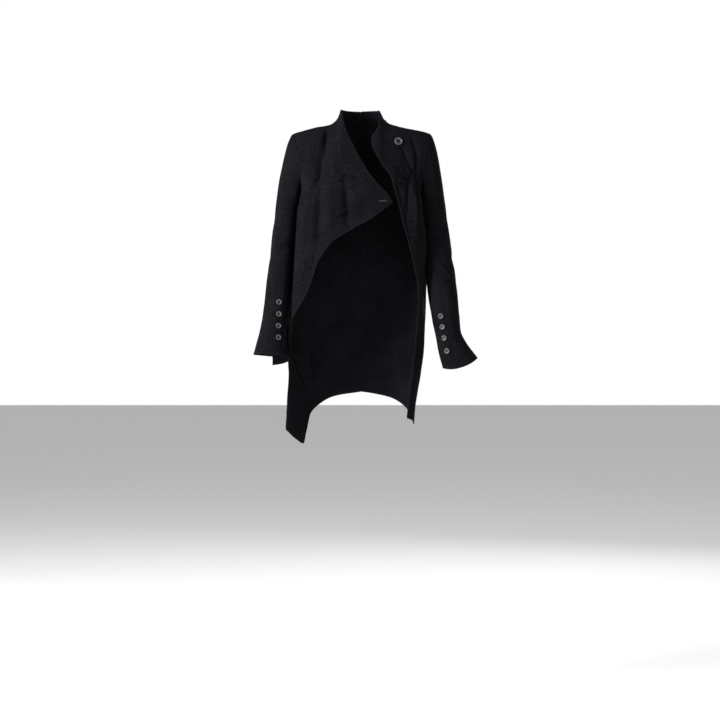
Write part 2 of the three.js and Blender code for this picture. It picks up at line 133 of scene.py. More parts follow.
def curve(rows: Rows, value: int = 1) -> Curve:
    """A curve through one column of a table, which never overshoots its rows.

    Args:
        rows: the table, whose first column is the place.
        value: the column that the curve goes through.

    Returns:
        A function from places to values.
    """
    table = np.array(rows, float)
    at, to = table[:, 0], table[:, value]
    slope = np.diff(to) / np.diff(at)
    before, after = slope[:-1], slope[1:]
    total = np.where(before + after == 0, 1.0, before + after)
    inner = np.where(before * after <= 0, 0.0, 2 * before * after / total)
    tangent = np.concatenate([slope[:1], inner, slope[-1:]])

    def read(where: Array) -> Array:
        """The curve's values at some places, level past its ends.

        Args:
            where: the places.

        Returns:
            A value for each place.
        """
        place = np.clip(where, at[0], at[-1])
        i = np.searchsorted(at[1:-1], place, side="left")
        span = at[i + 1] - at[i]
        u = (place - at[i]) / span
        v = 1 - u
        return (
            (1 + 2 * u) * v * v * to[i]
            + u * v * v * span * tangent[i]
            + u * u * (3 - 2 * u) * to[i + 1]
            - u * u * v * span * tangent[i + 1]
        )

    return read


def refine(breaks: Sequence[float], step: float) -> Array:
    """Every break, with even steps between them.

    Args:
        breaks: the places that are kept, in order.
        step: the longest step.

    Returns:
        All the places, in order.
    """
    parts = [
        np.linspace(a, b, max(1, math.ceil((b - a) / step)) + 1)[:-1]
        for a, b in zip(breaks, breaks[1:])
    ]
    return np.concatenate([*parts, [breaks[-1]]])


def value_noise(u: Array, v: Array, seed: int) -> Array:
    """Smooth noise with one feature for each unit of u and v.

    Args:
        u: the places one way.
        v: the places the other way.
        seed: the seed of the random lattice.

    Returns:
        Numbers from -1 to 1.
    """
    lattice = np.random.default_rng(seed).uniform(-1.0, 1.0, (LATTICE, LATTICE))
    i, j = np.floor(u).astype(int), np.floor(v).astype(int)
    s, t = smooth(u - i), smooth(v - j)
    a, b = i % LATTICE, j % LATTICE
    c, d = (i + 1) % LATTICE, (j + 1) % LATTICE
    top = mix(lattice[a, b], lattice[c, b], s)
    return mix(top, mix(lattice[a, d], lattice[c, d], s), t)


def heading(angle: float) -> Array:
    """The way in a plane that an angle in radians gives."""
    return np.array([math.cos(angle), math.sin(angle)])


def turned_axes(out: Array, degrees: float) -> tuple[Array, Array]:
    """Two ways square to a direction, the first of them level before the turn.

    Args:
        out: the direction.
        degrees: how far they are turned round it.

    Returns:
        The two ways, of length 1.
    """
    level = unit(np.cross((0, 0, 1), out))
    high = np.cross(out, level)
    way = heading(math.radians(degrees))
    return level * way[0] + high * way[1], high * way[0] - level * way[1]


def search_tree(points: Array) -> KDTree:
    """A tree that finds the nearest of some points.

    Args:
        points: the points.

    Returns:
        The tree.
    """
    tree = KDTree(len(points))
    for i, point in enumerate(points):
        tree.insert(point, i)
    tree.balance()
    return tree


def link(name: str, data: bpy.types.ID) -> Piece:
    """Makes an object of a mesh, a light or a camera.

    Args:
        name: the object's name.
        data: what it shows.

    Returns:
        The object, linked into the scene.
    """
    made = bpy.data.objects.new(name, data)
    bpy.context.scene.collection.objects.link(made)
    return made


def settle(piece: Piece) -> Mesh:
    """Makes what a piece's modifiers show its plain mesh.

    Args:
        piece: the piece, which keeps no modifier.

    Returns:
        Its new mesh, shaded smooth.
    """
    evaluated = piece.evaluated_get(bpy.context.evaluated_depsgraph_get())
    made = bpy.data.meshes.new_from_object(evaluated)
    piece.modifiers.clear()
    piece.data = made
    made.polygons.foreach_set("use_smooth", np.ones(len(made.polygons), bool))
    return made


# ------------------------------------------------------------------ the body's form

PLAN_POWER = 0.84
WALL = 1.7
CREASE_ENDS = (0.08, 0.92)


def power(v: Array) -> Array:
    """A sine or cosine that is squarer than an ellipse's."""
    return np.sign(v) * np.abs(v) ** PLAN_POWER


@dataclass(frozen=True)
class Crease:
    """A soft trough (depth below 0) or ridge on a straight line over the cloth.

    The line runs between two places, each as the way round and the way down.
    """

    start: tuple[float, float]
    end: tuple[float, float]
    width: float
    depth: float

    def push(self, around: Array, down: Array, scale: float) -> Array:
        """How far the crease moves the cloth outward.

        Args:
            around: the way round, in degrees.
            down: the way down, in millimetres.
            scale: millimetres of cloth to one degree.

        Returns:
            Millimetres, for each place.
        """
        ax, ay = self.start[0] * scale, self.start[1]
        dx, dy = self.end[0] * scale - ax, self.end[1] - ay
        px, py = around * scale - ax, down - ay
        along = np.clip((px * dx + py * dy) / (dx * dx + dy * dy), 0.0, 1.0)
        away = np.hypot(px - along * dx, py - along * dy)
        return self.depth * bell(away / self.width) * np.sin(math.pi * mix(*CREASE_ENDS, along))


def creases_of(rows: Rows) -> tuple[Crease, ...]:
    """Creases from rows of start angle and drop, end angle and drop, width and depth."""
    return tuple(Crease((a, b), (c, d), width, depth) for a, b, c, d, width, depth in rows)


@dataclass(frozen=True)
class BodyForm:
    """The middle surface of the body's cloth, by angle round it and drop below the shoulder."""

    # drop, half widths right and left, front depths right and left, back depth, arm hollows
    plan: Rows = (
        (0, 213, 213, 0, 0, 0, 0, 0), (4, 212, 212, 20, 20, 18, 0, 0),
        (14, 211, 211, 33, 33, 32, 0, 0), (35, 209, 209, 47, 47, 48, 0, 0),
        (65, 203, 203, 62, 62, 64, 0, 0), (100, 191, 191, 81, 81, 79, 0, 0),
        (135, 174, 174, 101, 101, 89, 4, 4), (165, 167, 167, 115, 115, 94, 14, 14),
        (205, 181, 177, 127, 125, 95, 33, 31), (260, 194, 185, 131, 121, 90, 50, 44),
        (330, 203, 193, 127, 110, 84, 57, 51), (400, 210, 191, 121, 92, 92, 54, 42),
        (460, 213, 183, 117, 78, 104, 47, 24), (540, 211, 169, 113, 68, 118, 28, 6),
        (600, 193, 160, 110, 62, 124, 8, 0), (660, 187, 151, 108, 60, 127, 2, 0),
        (740, 190, 139, 104, 60, 130, 0, 0), (850, 196, 131, 100, 60, 133, 0, 0),
    )
    # way out from the middle, height of the front's top
    top_right: Rows = (
        (0, 42), (48, 42), (53, 40), (57, 29), (62, 17), (70, 7.5), (83, 0.5),
        (125, -8), (153, -15.5), (177, -23), (184, -29), (215, -60),
    )
    top_left: Rows = (
        (0, 39), (42, 39), (46, 37), (51, 28), (56, 18), (63, 10), (74, 2.5),
        (100, -5.5), (145, -14), (177, -22.5), (184, -29), (215, -60),
    )
    # drop, degrees in front of the underarm, degrees behind it
    armhole: Rows = (
        (0, 38.5, 36.5), (30, 40.5, 38.5), (65, 41, 38), (100, 37, 34),
        (130, 29.5, 27), (150, 20, 18), (160, 11.5, 10.5), (165, 0, 0),
    )
    # drop, angle of the front's edge
    edge_right: Rows = (
        (0, -10.9), (27, -10), (54, -8), (86, -3.7), (110, -0.5), (134, 3.1), (161, 10),
        (191, 18.4), (205, 20.9), (209, 21.7), (211, 22.2), (213, 21.5), (226, 16.2),
        (253, 5.2), (283, -5.8), (313, -18.3), (342, -25), (372, -29.9), (403, -32.7),
        (433, -36.4), (461, -41.7), (482, -48.3), (506, -58), (526, -70), (545, -81),
        (562, -91), (585, -97), (597, -105), (612, -115), (633, -121.6), (655, -128),
        (682, -133),
    )
    edge_left: Rows = (
        (0, 9.1), (38, 9.4), (52, 7.5), (63, 5.3), (76, 5.2), (97, 7.9), (118, 13.4),
        (130, 18.2), (144, 21.9), (160, 24.3), (190, 27), (218, 28.3), (261, 30.4),
        (288, 33.2), (321, 36), (353, 39), (377, 41.7), (411, 46.5), (480, 52),
        (560, 55), (660, 56.5), (762, 56),
    )
    # angle, drop of the hem
    hem_right: Rows = (
        (-180, 695), (-160, 708), (-144.2, 738), (-139, 756), (-138, 768), (-135.2, 806),
        (-133.2, 832), (-122, 819), (-110, 804), (-96, 791),
    )
    hem_left: Rows = (
        (54, 760), (72, 766), (90, 777), (97, 772), (120, 743), (150, 711), (180, 695),
    )
    # drop, angle of the side seam
    side_right: Rows = ((165, -91), (230, -106), (300, -118), (700, -118))
    side_left: Rows = ((165, 91), (260, 96), (800, 97))
    # angle at the top and end, drops from and to, ease, width in degrees, depth
    folds: Rows = (
        (-20, -41, 5, 170, 60, 5, -5), (-11, -8, 150, 275, 45, 5.5, -6),
        (-37, -30, 165, 330, 60, 5, -4), (-21, -20, 170, 310, 50, 6, 4),
        (-60, -66, 200, 520, 110, 6, -5), (24, 44, 45, 150, 35, 5, -6),
        (34, 62, 15, 190, 50, 4.5, -4), (31, 33, 150, 240, 40, 4, -4),
        (45, 48, 160, 330, 60, 6, 5), (63, 71, 200, 520, 100, 6, -6),
        (150, 152, 150, 650, 120, 7, -5), (-152, -150, 150, 650, 120, 7, -5),
        (125, 122, 300, 770, 120, 7, 5), (-126, -124, 540, 840, 110, 6, 4),
    )
    # angle and drop at the start and at the end, width, depth
    creases: tuple[Crease, ...] = creases_of((
        (-19, 4, -28, 100, 6, -9.5), (-20.5, 2, -27, 74, 2.8, -7),
        (-16.5, 8, -20, 90, 4, 3.5), (-28, 84, -44, 180, 6, -11), (-40, 96, -56, 150, 5, 3),
        (-13, 30, -20, 150, 7, 4),
        (-38, 30, -50, 130, 8, -2.2), (-11, 158, -7, 282, 6, -10.5), (-35, 168, -30, 330, 7, -11),
        (-47, 180, -45, 330, 7, 4.5), (-23, 180, -20, 320, 8, 4.5),
        (-57, 122, -36, 149, 6, -6), (-60, 150, -40, 172, 8, 2.4),
        (-55, 96, -42, 128, 4, -1.6), (-51, 84, -37, 118, 3.5, -1.3),
        (-47, 76, -34, 104, 3.5, 1.1), (-16.5, 250, -6, 222, 3, 3),
        (-19, 260, -5, 232, 4.5, -2), (-37, 297, -21, 299, 5, -4.4),
        (-38, 284, -20, 286, 6, 1.8), (-7, 196, 5, 250, 8, -2), (-3, 96, 9, 166, 7, -1.2),
        (-30, 322, -40, 430, 7, -2.4), (-43, 316, -53, 440, 8, 2.2),
        (-62, 240, -50, 330, 9, -2.6), (-75, 300, -64, 430, 9, -2.4),
        (-86, 186, -60, 212, 7, -2.2), (-90, 226, -66, 264, 8, -2.2),
        (-70, 470, -80, 540, 8, -2.2), (-108, 560, -118, 670, 8, -2.2),
        (26, 54, 45, 132, 4, -6.5), (46, 120, 33, 262, 4, -7.5), (35, 30, 54, 150, 4, -6.5),
        (30, 60, 47, 160, 3, 3),
        (54, 140, 68, 210, 5, -6), (29, 150, 32, 225, 3, -4), (48, 146, 42, 290, 4.5, 7.5),
        (52, 180, 47, 350, 5, -8), (32, 225, 38, 330, 4, -4), (60, 230, 56, 390, 6, 5),
        (66, 250, 62, 420, 7, -4.5),
        (70, 180, 60, 240, 7, -2.4), (82, 174, 62, 200, 6, -2.2), (44, 360, 50, 470, 6, -2.2),
        (54, 420, 58, 560, 7, 1.8), (66, 430, 72, 620, 8, -2.2), (62, 600, 66, 720, 7, -1.8),
        (104, 150, 128, 185, 7, -2.6), (108, 182, 132, 205, 7, 2), (118, 96, 140, 120, 5, -1.8),
        (160, 120, 152, 260, 9, -2.2), (140, 300, 128, 360, 7, -2.4),
        (165, 330, 142, 372, 7, -2.2), (112, 280, 104, 400, 8, -2.4),
        (130, 480, 126, 700, 9, -2.6), (150, 520, 154, 680, 9, 2.2), (170, 60, 158, 74, 5, -1.5),
        (-103, 152, -126, 182, 7, -2.4), (-109, 186, -134, 214, 6, 2),
        (-120, 92, -141, 118, 5, -1.7), (-162, 130, -150, 270, 9, -2.2),
        (-142, 306, -126, 352, 7, -2.4), (-168, 322, -144, 366, 7, -2),
        (-114, 500, -110, 690, 8, -2.6), (-124, 560, -130, 760, 7, 2.2),
        (-146, 520, -150, 690, 9, -2.4), (-170, 66, -157, 78, 5, -1.4),
    ))
    side_blend: float = 0.25
    shoulder_fade: float = 170
    ridge_fade: float = 34
    neck_half: float = 66
    neck_depth: float = 55
    neck_rise: float = 12
    underarm_drop: float = 165
    underarm_angle: float = 91
    # degrees wide, and its angle above and below
    tuck: tuple[float, float, float] = (15, 91, 84)
    tuck_drops: Span = (300, 520)
    vent_from: float = 440
    vent_open: float = 475
    vent_wrapped: float = 545
    vent_tail: float = -96.5
    vent_underlap: float = -137
    vent_lift: float = 5.5
    vent_lift_angles: Span = (-168, 26)
    hem_nominal: float = 695
    hem_shift_from: float = 470
    crease_scale: float = 2.9
    probe: Span = (0.4, 0.8)

    def fold_push(self, angle: Array, drop: Array) -> Array:
        """How far the large folds and the creases move the cloth outward.

        Args:
            angle: degrees round the body.
            drop: the way down from the shoulder.

        Returns:
            Millimetres for each point.
        """
        push = np.zeros(np.broadcast(angle, drop).shape)
        for top, end, start, stop, ease, width, depth in self.folds:
            share = np.clip((drop - start) / (stop - start), 0, 1)
            fade = smooth((drop - start) / ease) * smooth((stop - drop) / ease)
            push = push + depth * bell((angle - mix(top, end, share)) / width) * fade
        for crease in self.creases:
            push = push + crease.push(angle, drop, self.crease_scale)
        return push

    def vent_push(self, angle: Array, drop: Array) -> Array:
        """How far the right back stands outside the right front where the two overlap.

        Args:
            angle: degrees round the body.
            drop: the way down from the shoulder.

        Returns:
            Millimetres for each point.
        """
        opened = smooth((drop - self.vent_from) / (self.vent_open - self.vent_from))
        start, ease = self.vent_lift_angles
        return self.vent_lift * opened * smooth((angle - start) / ease)

    def surface(self, panel: Panel, angle: Array, drop: Array) -> Array:
        """Points of the cloth's middle surface, in millimetres.

        Args:
            panel: the panel that the points are on.
            angle: degrees round the body, 0 at the front and below 0 on the right.
            drop: the way down from the shoulder.

        Returns:
            An array of points, with the shape of angle and drop.
        """
        sine, cosine = np.sin(np.radians(angle)), np.cos(np.radians(angle))
        right, left = curve(self.plan, 1)(drop), curve(self.plan, 2)(drop)
        half = mix(right, left, smooth((sine + self.side_blend) / (2 * self.side_blend)))
        front = curve(self.plan, 4 if panel is Panel.FRONT_LEFT else 3)(drop)
        x = half * power(sine)
        tuck = np.where(sine < 0, curve(self.plan, 6)(drop), curve(self.plan, 7)(drop))
        width, high, low = self.tuck
        start, stop = self.tuck_drops
        tuck_at = mix(high, low, smooth((drop - start) / (stop - start)))
        push = self.fold_push(angle, drop) - tuck * bell((np.abs(angle) - tuck_at) / width)
        push = push * smooth(drop / self.ridge_fade)
        fade = 1 - smooth(drop / self.shoulder_fade)
        out = np.abs(x)
        rise = np.where(x < 0, curve(self.top_right)(out), curve(self.top_left)(out))
        behind = curve(self.plan, 5)(drop) * power(np.maximum(-cosine, 0))
        if panel.is_back:
            across = np.minimum(out / self.neck_half, 1)
            hollow = self.neck_depth * np.sqrt(1 - across * across)
            behind = np.sqrt(behind * behind + hollow * hollow * fade)
            rise = np.minimum(rise, self.neck_rise)
        if panel is Panel.BACK_RIGHT:
            push = push + self.vent_push(angle, drop)
        y = behind - front * power(np.maximum(cosine, 0))
        z = rise * fade - drop
        return np.stack([x + push * sine, y - push * cosine, z], axis=-1)

    def normal(self, panel: Panel, angle: Array, drop: Array) -> Array:
        """Outward directions at points of a panel.

        Args:
            panel: the panel.
            angle: degrees round the body.
            drop: the way down from the shoulder.

        Returns:
            Vectors of length 1.
        """
        turn, fall = self.probe
        above = np.maximum(drop - fall, 0)
        down = self.surface(panel, angle, drop + fall) - self.surface(panel, angle, above)
        before, after = (self.surface(panel, angle + step, drop) for step in (-turn, turn))
        return unit(np.cross(down, after - before))

    def arm_edge(self, side: Side, behind: bool, drop: Array) -> Array:
        """The angle of the armhole's edge, and of the side seam below it.

        Args:
            side: the side of the body.
            behind: whether it is the back's edge.
            drop: the way down from the shoulder.

        Returns:
            Degrees for each drop.
        """
        inset = curve(self.armhole, 2 if behind else 1)(drop)
        sign = 1 if behind else -1
        hole = side.value * (self.underarm_angle + sign * inset)
        seam = curve(self.side_right if side is Side.RIGHT else self.side_left)(drop)
        return np.where(drop < self.underarm_drop, hole, seam)

    def wrap(self, drop: Array) -> Array:
        """How far the overlap at the right side has opened, from 0 to 1."""
        return smooth((drop - self.vent_open) / (self.vent_wrapped - self.vent_open))


# ------------------------------------------------------------------ sleeves' form


@dataclass(frozen=True)
class SleeveForm:
    """The middle surface of a sleeve, by the angle round it and the way along it.

    Angle 0 is the outside, 90 the front and 180 the inside. Along runs over the cap
    from -1 at the armhole to 0, and then down the sleeve in millimetres.
    """

    body: BodyForm
    side: Side
    # along, outer x and z, inner x and z, middle y, half depth, dip in front, hang behind
    rings: Rows
    # phi, along, width in phi, width along, slant, depth
    folds: Rows = (
        (60, 60, 34, 12, 0.5, -2.5), (100, 110, 30, 9, -0.6, -2),
        (40, 150, 30, 11, 0.4, -2.5), (250, 120, 34, 11, 0.5, -2.5),
        (300, 70, 34, 12, -0.4, -2.5),
    )
    creases: tuple[Crease, ...] = ()
    front_seam: float = 131
    back_seam: float = 270
    cap_lift: float = 0.34
    leave_out: Span = (0.9, -0.2)
    leave_down: Span = (-0.45, -0.8)
    reach: float = 4
    set_off: float = 0.1
    crease_scale: float = 0.75

    @staticmethod
    def lowness(phi: Array) -> Array:
        """How far an angle is from the outside, from 0 to 1 at the inside."""
        return (1 - np.cos(np.radians(phi))) / 2

    @property
    def length(self) -> float:
        """The way down the sleeve from the end of its cap."""
        return self.rings[-1][0]

    def ring(self, phi: Array, along: Array) -> Array:
        """Points of the plain sleeve, with no folds.

        Args:
            phi: degrees round the sleeve.
            along: the way down from the end of the cap.

        Returns:
            An array of points.
        """
        out_x, out_z, in_x, in_z, middle, half, dip = (
            curve(self.rings, i)(along) for i in range(1, 8)
        )
        cosine, sine = np.cos(np.radians(phi)), np.sin(np.radians(phi))
        return np.stack([
            mix((out_x + in_x) / 2, out_x, power(cosine)),
            middle - half * power(sine),
            mix((out_z + in_z) / 2, out_z, power(cosine)) - dip * np.maximum(sine, 0) ** 2,
        ], axis=-1)

    def tube(self, phi: Array, along: Array) -> Array:
        """Points of the sleeve below its cap.

        Args:
            phi: degrees round the sleeve.
            along: the way down from the end of the cap.

        Returns:
            An array of points.
        """
        point = self.ring(phi, along)
        centre = (self.ring(phi + 180, along) + point) / 2
        push = np.zeros(np.broadcast(phi, along).shape)
        for at, where, phi_width, width, slant, depth in self.folds:
            away = np.mod(phi - at + 180, 360) - 180
            line = (along - where - slant * away) / width
            push = push + depth * bell(away / phi_width) * bell(line)
        for crease in self.creases:
            for turn in (-360, 0, 360):
                push = push + crease.push(phi + turn, along, self.crease_scale)
        return point + unit(point - centre) * push[..., None]

    def armhole(self, phi: Array) -> Array:
        """Points of the loop where the sleeve is set into the body.

        Args:
            phi: degrees round the sleeve.

        Returns:
            An array of points.
        """
        low = self.lowness(phi)
        drop = self.body.underarm_drop * low
        sign = self.side.value
        points = []
        for behind in (False, True):
            inset = curve(self.body.armhole, 2 if behind else 1)(drop)
            turn = self.body.underarm_angle + (inset if behind else -inset)
            points.append(self.body.surface(Panel.of(self.side, behind), sign * turn, drop))
        front = (np.sin(np.radians(phi)) >= 0)[..., None]
        point = np.where(front, points[0], points[1])
        point[..., 0] += sign * (self.set_off + low ** 3 * WALL)
        return point

    def surface(self, phi: Array, along: Array) -> Array:
        """Points of the cap and the sleeve, in millimetres.

        Args:
            phi: degrees round the sleeve.
            along: the way down from the end of the cap, or from -1 to 0 on the cap.

        Returns:
            An array of points.
        """
        start = self.armhole(phi)
        end = self.tube(phi, np.zeros_like(phi))
        chord = np.linalg.norm(start - end, axis=-1, keepdims=True)
        low = self.lowness(phi)
        out = self.side.value * mix(*self.leave_out, low)
        leave = np.stack([out, np.zeros_like(low), mix(*self.leave_down, low)], axis=-1)
        arrive = (self.tube(phi, np.full_like(phi, self.reach)) - end) * chord / self.reach
        u = (1 + np.minimum(along, 0))[..., None]
        v = 1 - u
        cap = (
            start * (1 + 2 * u) * v * v
            + leave * u * v * v * chord * self.cap_lift
            + end * u * u * (3 - 2 * u)
            - arrive * u * u * v
        )
        return np.where((along >= 0)[..., None], self.tube(phi, np.maximum(along, 0)), cap)

    def normal(self, phi: Array, along: Array) -> Array:
        """Outward directions at points of the sleeve.

        Args:
            phi: degrees round the sleeve.
            along: the way down from the end of the cap.

        Returns:
            Vectors of length 1.
        """
        step = np.where(along < 0, 0.01, 1.0)
        low = np.maximum(along - step, np.where(along < 0, -1.0, 0.0))
        down = self.surface(phi, along + step) - self.surface(phi, low)
        around = self.surface(phi + 1, along) - self.surface(phi - 1, along)
        return unit(-self.side.value * np.cross(down, around))

    def hang(self, phi: Array, along: Array) -> Array:
        """How much lower the under sleeve hangs towards its back corner.

        Args:
            phi: degrees round the sleeve.
            along: the way down from the end of the cap.

        Returns:
            A move for each point.
        """
        amount = curve(self.rings, 8)(along) * np.maximum((phi - 180) / (self.back_seam - 180), 0)
        down = self.surface(phi, along) - self.surface(phi, np.maximum(along - 1, 0))
        return np.where((along > 1)[..., None], down * amount[..., None], 0.0)


# ------------------------------------------------------------------ cloth


@dataclass
class Borders:
    """What the four borders of a cloth are, as Edge values or one value for each row."""

    top: float = Edge.SEAM.value
    bottom: float = Edge.FREE.value
    first: Array | float = Edge.SEAM.value
    last: Array | float = Edge.SEAM.value


@dataclass
class Cloth:
    """A wall of cloth from rows of points on its middle surface, in millimetres."""

    name: str
    points: Array
    normals: Array
    borders: Borders
    thickness: float = WALL
    groove: float = 0.9
    groove_width: float = 2.2
    crumple: float = 0.8
    pucker: float = 0.5
    turning: float = 0.5
    seam_turning: float = 12
    seam_step: float = 1.5
    hem_turning: float = 24
    hem_step: float = 2
    calm: float = 8
    # how far in from free borders the paler edges reach, partly wear and partly painted highlight
    wear_highlight_width: float = 2.2
    # one wave across and its start, one wave along and its start, shear, seed's shift, share
    waves: Rows = (
        (34, 9, 70, 5, 0, 0, 1), (17, 4, 33, 2, 0.02, 3, 0.55), (8, 3, 15, 7, 0, 1, 0.24),
    )
    pucker_wave: Sequence[float] = (8, 1, 10, 2, 0, 2, 1)
    seed: int = 1
    uv: Array = field(init=False)
    outer: Array = field(init=False)
    inner: Array = field(init=False)
    from_free: Array = field(init=False)

    def __post_init__(self) -> None:
        """Measures the cloth and works out its two faces."""
        across = np.linalg.norm(np.diff(self.points, axis=1), axis=-1)
        down = np.linalg.norm(np.diff(self.points, axis=0), axis=-1)
        rows, columns = self.points.shape[:2]
        from_first = np.concatenate([np.zeros((rows, 1)), np.cumsum(across, axis=1)], axis=1)
        from_top = np.concatenate([np.zeros((1, columns)), np.cumsum(down, axis=0)], axis=0)
        middle = columns // 2
        u = from_first - from_first[:, middle:middle + 1]
        fall = self.points[:, middle:middle + 1, 2] - self.points[..., 2]
        self.uv = np.stack([u, from_top[:, middle:middle + 1] + fall], axis=-1) * MM
        self.from_free = self._distance(Edge.FREE)
        self._shape()

    def cut(self) -> tuple[tuple[float, float], float]:
        """Measures the flat cut.

        Returns:
            The width and length, and the area, in metres.
        """
        corner = self.points * MM
        a = corner[1:, 1:] - corner[:-1, :-1]
        b = corner[1:, :-1] - corner[:-1, 1:]
        area = float(np.linalg.norm(np.cross(a, b), axis=-1).sum() / 2)
        width, length = np.ptp(self.uv[..., 0]), np.ptp(self.uv[..., 1])
        return (round(float(width), 3), round(float(length), 3)), round(area, 4)

    def _edge(self, which: str) -> Array:
        """One border's values, for each of its points."""
        count = self.points.shape[0] if which in ("first", "last") else self.points.shape[1]
        return np.broadcast_to(np.asarray(getattr(self.borders, which), float), (count,))

    def _distance(self, edge: Edge) -> Array:
        """How far each point is from the nearest border of one kind.

        Args:
            edge: the kind of border.

        Returns:
            Millimetres for each point.
        """
        place, _, free = self.perimeter()
        chosen = place[(free > 0.5) == (edge is Edge.FREE)]
        flat = self.points.reshape(-1, 3)
        if not len(chosen):
            return np.full(self.points.shape[:2], 1e3)
        tree = search_tree(self.points[chosen[:, 0], chosen[:, 1]])
        return np.array([tree.find(point)[2] for point in flat]).reshape(self.points.shape[:2])

    def _wave(self, row: Sequence[float]) -> Array:
        """One row's share of the crumple, over the whole cloth.

        Args:
            row: a row of waves.

        Returns:
            Numbers about 0 for each point.
        """
        wide, first, long, top, shear, shift, share = row
        u, v = self.uv[..., 0] / MM, self.uv[..., 1] / MM
        return share * value_noise(u / wide + first + shear * v, v / long + top, self.seed + shift)

    def _shape(self) -> None:
        """Sinks the seams, crumples the cloth and gives it its two faces."""
        seam = self._distance(Edge.SEAM)
        near = bell(seam / self.calm)
        line = bell(seam / self.groove_width)
        crumple = self.crumple * sum(self._wave(row) for row in self.waves) * (1 - near)
        pucker = self.pucker * self._wave(self.pucker_wave) * near * (1 - line)
        lift = crumple - self.groove * line + pucker
        middle = self.points + self.normals * lift[..., None]
        half = self.normals * (self.thickness / 2)
        at_seam = smooth((self.seam_turning - seam) / self.seam_step)
        at_hem = smooth((self.hem_turning - self.from_free) / self.hem_step)
        turned = np.maximum(at_seam, at_hem)
        self.outer = middle + half
        self.inner = middle - half - self.normals * (self.turning * turned)[..., None]

    def perimeter(self) -> tuple[Array, Array, Array]:
        """Walks once round the border.

        Returns:
            The grid places in order, their neighbours inside, and how free each is.
        """
        last_row, last_column = self.points.shape[0] - 1, self.points.shape[1] - 1
        down, across = np.arange(last_row), np.arange(last_column)
        up, back = last_row - down, last_column - across
        sides = (
            (np.zeros_like(across), across, (1, 0), self._edge("top")[across]),
            (down, np.full_like(down, last_column), (0, -1), self._edge("last")[down]),
            (np.full_like(back, last_row), back, (-1, 0), self._edge("bottom")[back]),
            (up, np.zeros_like(up), (0, 1), self._edge("first")[up]),
        )
        place = np.concatenate([np.stack([i, j], axis=1) for i, j, *_ in sides])
        inside = np.concatenate([np.stack([i, j], axis=1) + step for i, j, step, _ in sides])
        return place, inside, np.concatenate([free for *_, free in sides])

    def build(self, material: Material) -> Piece:
        """Makes the closed wall as a mesh object.

        Args:
            material: the finish of the cloth.

        Returns:
            The object, linked into the scene.
        """
        rows, columns = self.points.shape[:2]
        count = rows * columns
        place, inside, free = self.perimeter()
        loop = place[:, 0] * columns + place[:, 1]
        outer, inner = self.outer.reshape(-1, 3), self.inner.reshape(-1, 3)
        outward = unit(
            self.points[place[:, 0], place[:, 1]] - self.points[inside[:, 0], inside[:, 1]]
        )
        centre = (outer[loop] + inner[loop]) / 2
        half = (outer[loop] - inner[loop]) / 2
        rings = []
        for turn in (45, 90, 135):
            swell = outward * (math.sin(math.radians(turn)) * self.thickness / 2 * free)[:, None]
            rings.append(centre + half * math.cos(math.radians(turn)) + swell)
        vertices = np.concatenate([outer, inner, *rings]) * MM
        i, j = np.meshgrid(np.arange(rows - 1), np.arange(columns - 1), indexing="ij")
        a = (i * columns + j).ravel()
        faces = np.stack([a, a + columns, a + columns + 1, a + 1], axis=1)
        flipped = np.stack([a, a + 1, a + columns + 1, a + columns], axis=1) + count
        ring_start = [2 * count + k * len(loop) for k in range(3)]
        lines = [loop, *(start + np.arange(len(loop)) for start in ring_start), loop + count]
        strips = [
            np.stack([near, np.roll(near, -1), np.roll(far, -1), far], axis=1)
            for near, far in zip(lines, lines[1:])
        ]
        faces = np.concatenate([faces, flipped, *strips])
        if self.turned_in():
            faces = faces[:, ::-1]
        return self._object(vertices, faces, lines, free, material)

    def turned_in(self) -> bool:
        """Compares the grid's own winding with the outward normals.

        Returns:
            True where its faces have to be turned over.
        """
        i, j = self.points.shape[0] // 2, self.points.shape[1] // 2
        down = self.points[i + 1, j] - self.points[i, j]
        across = self.points[i, j + 1] - self.points[i, j]
        return float(np.dot(np.cross(down, across), self.normals[i, j])) < 0

    def _object(
        self, vertices: Array, faces: Array, lines: list[Array], free: Array, material: Material
    ) -> Piece:
        """Makes the mesh, its UV map, its attribute of paler edges, partly wear and partly painted
        highlight, and its sharp seams.

        Args:
            vertices: its points, in metres.
            faces: the points of each face.
            lines: the points along each line round the border.
            free: how free each place on the border is.
            material: the finish of the cloth.

        Returns:
            The object, linked into the scene.
        """
        mesh = bpy.data.meshes.new(self.name)
        mesh.from_pydata(vertices.tolist(), [], faces.tolist())
        loops = np.zeros(len(mesh.loops), int)
        mesh.loops.foreach_get("vertex_index", loops)
        flat = self.uv.reshape(-1, 2)
        border = flat[lines[0]]
        uv = np.concatenate([flat, flat, border, border, border])
        layer = mesh.uv_layers.new(name="UVMap")
        layer.data.foreach_set("uv", uv[loops].ravel())
        # paler free edges: partly wear and partly painted highlight
        wear = bell(self.from_free / self.wear_highlight_width).ravel()
        edge = wear[lines[0]]
        attribute = mesh.attributes.new("wear", "FLOAT", "POINT")
        attribute.data.foreach_set("value", np.concatenate([wear, wear, edge, edge, edge]))
        self._sharpen(mesh, lines, free)
        mesh.polygons.foreach_set("use_smooth", np.ones(len(mesh.polygons), bool))
        mesh.materials.append(material)
        mesh.validate()
        mesh.update()
        return link(self.name, mesh)

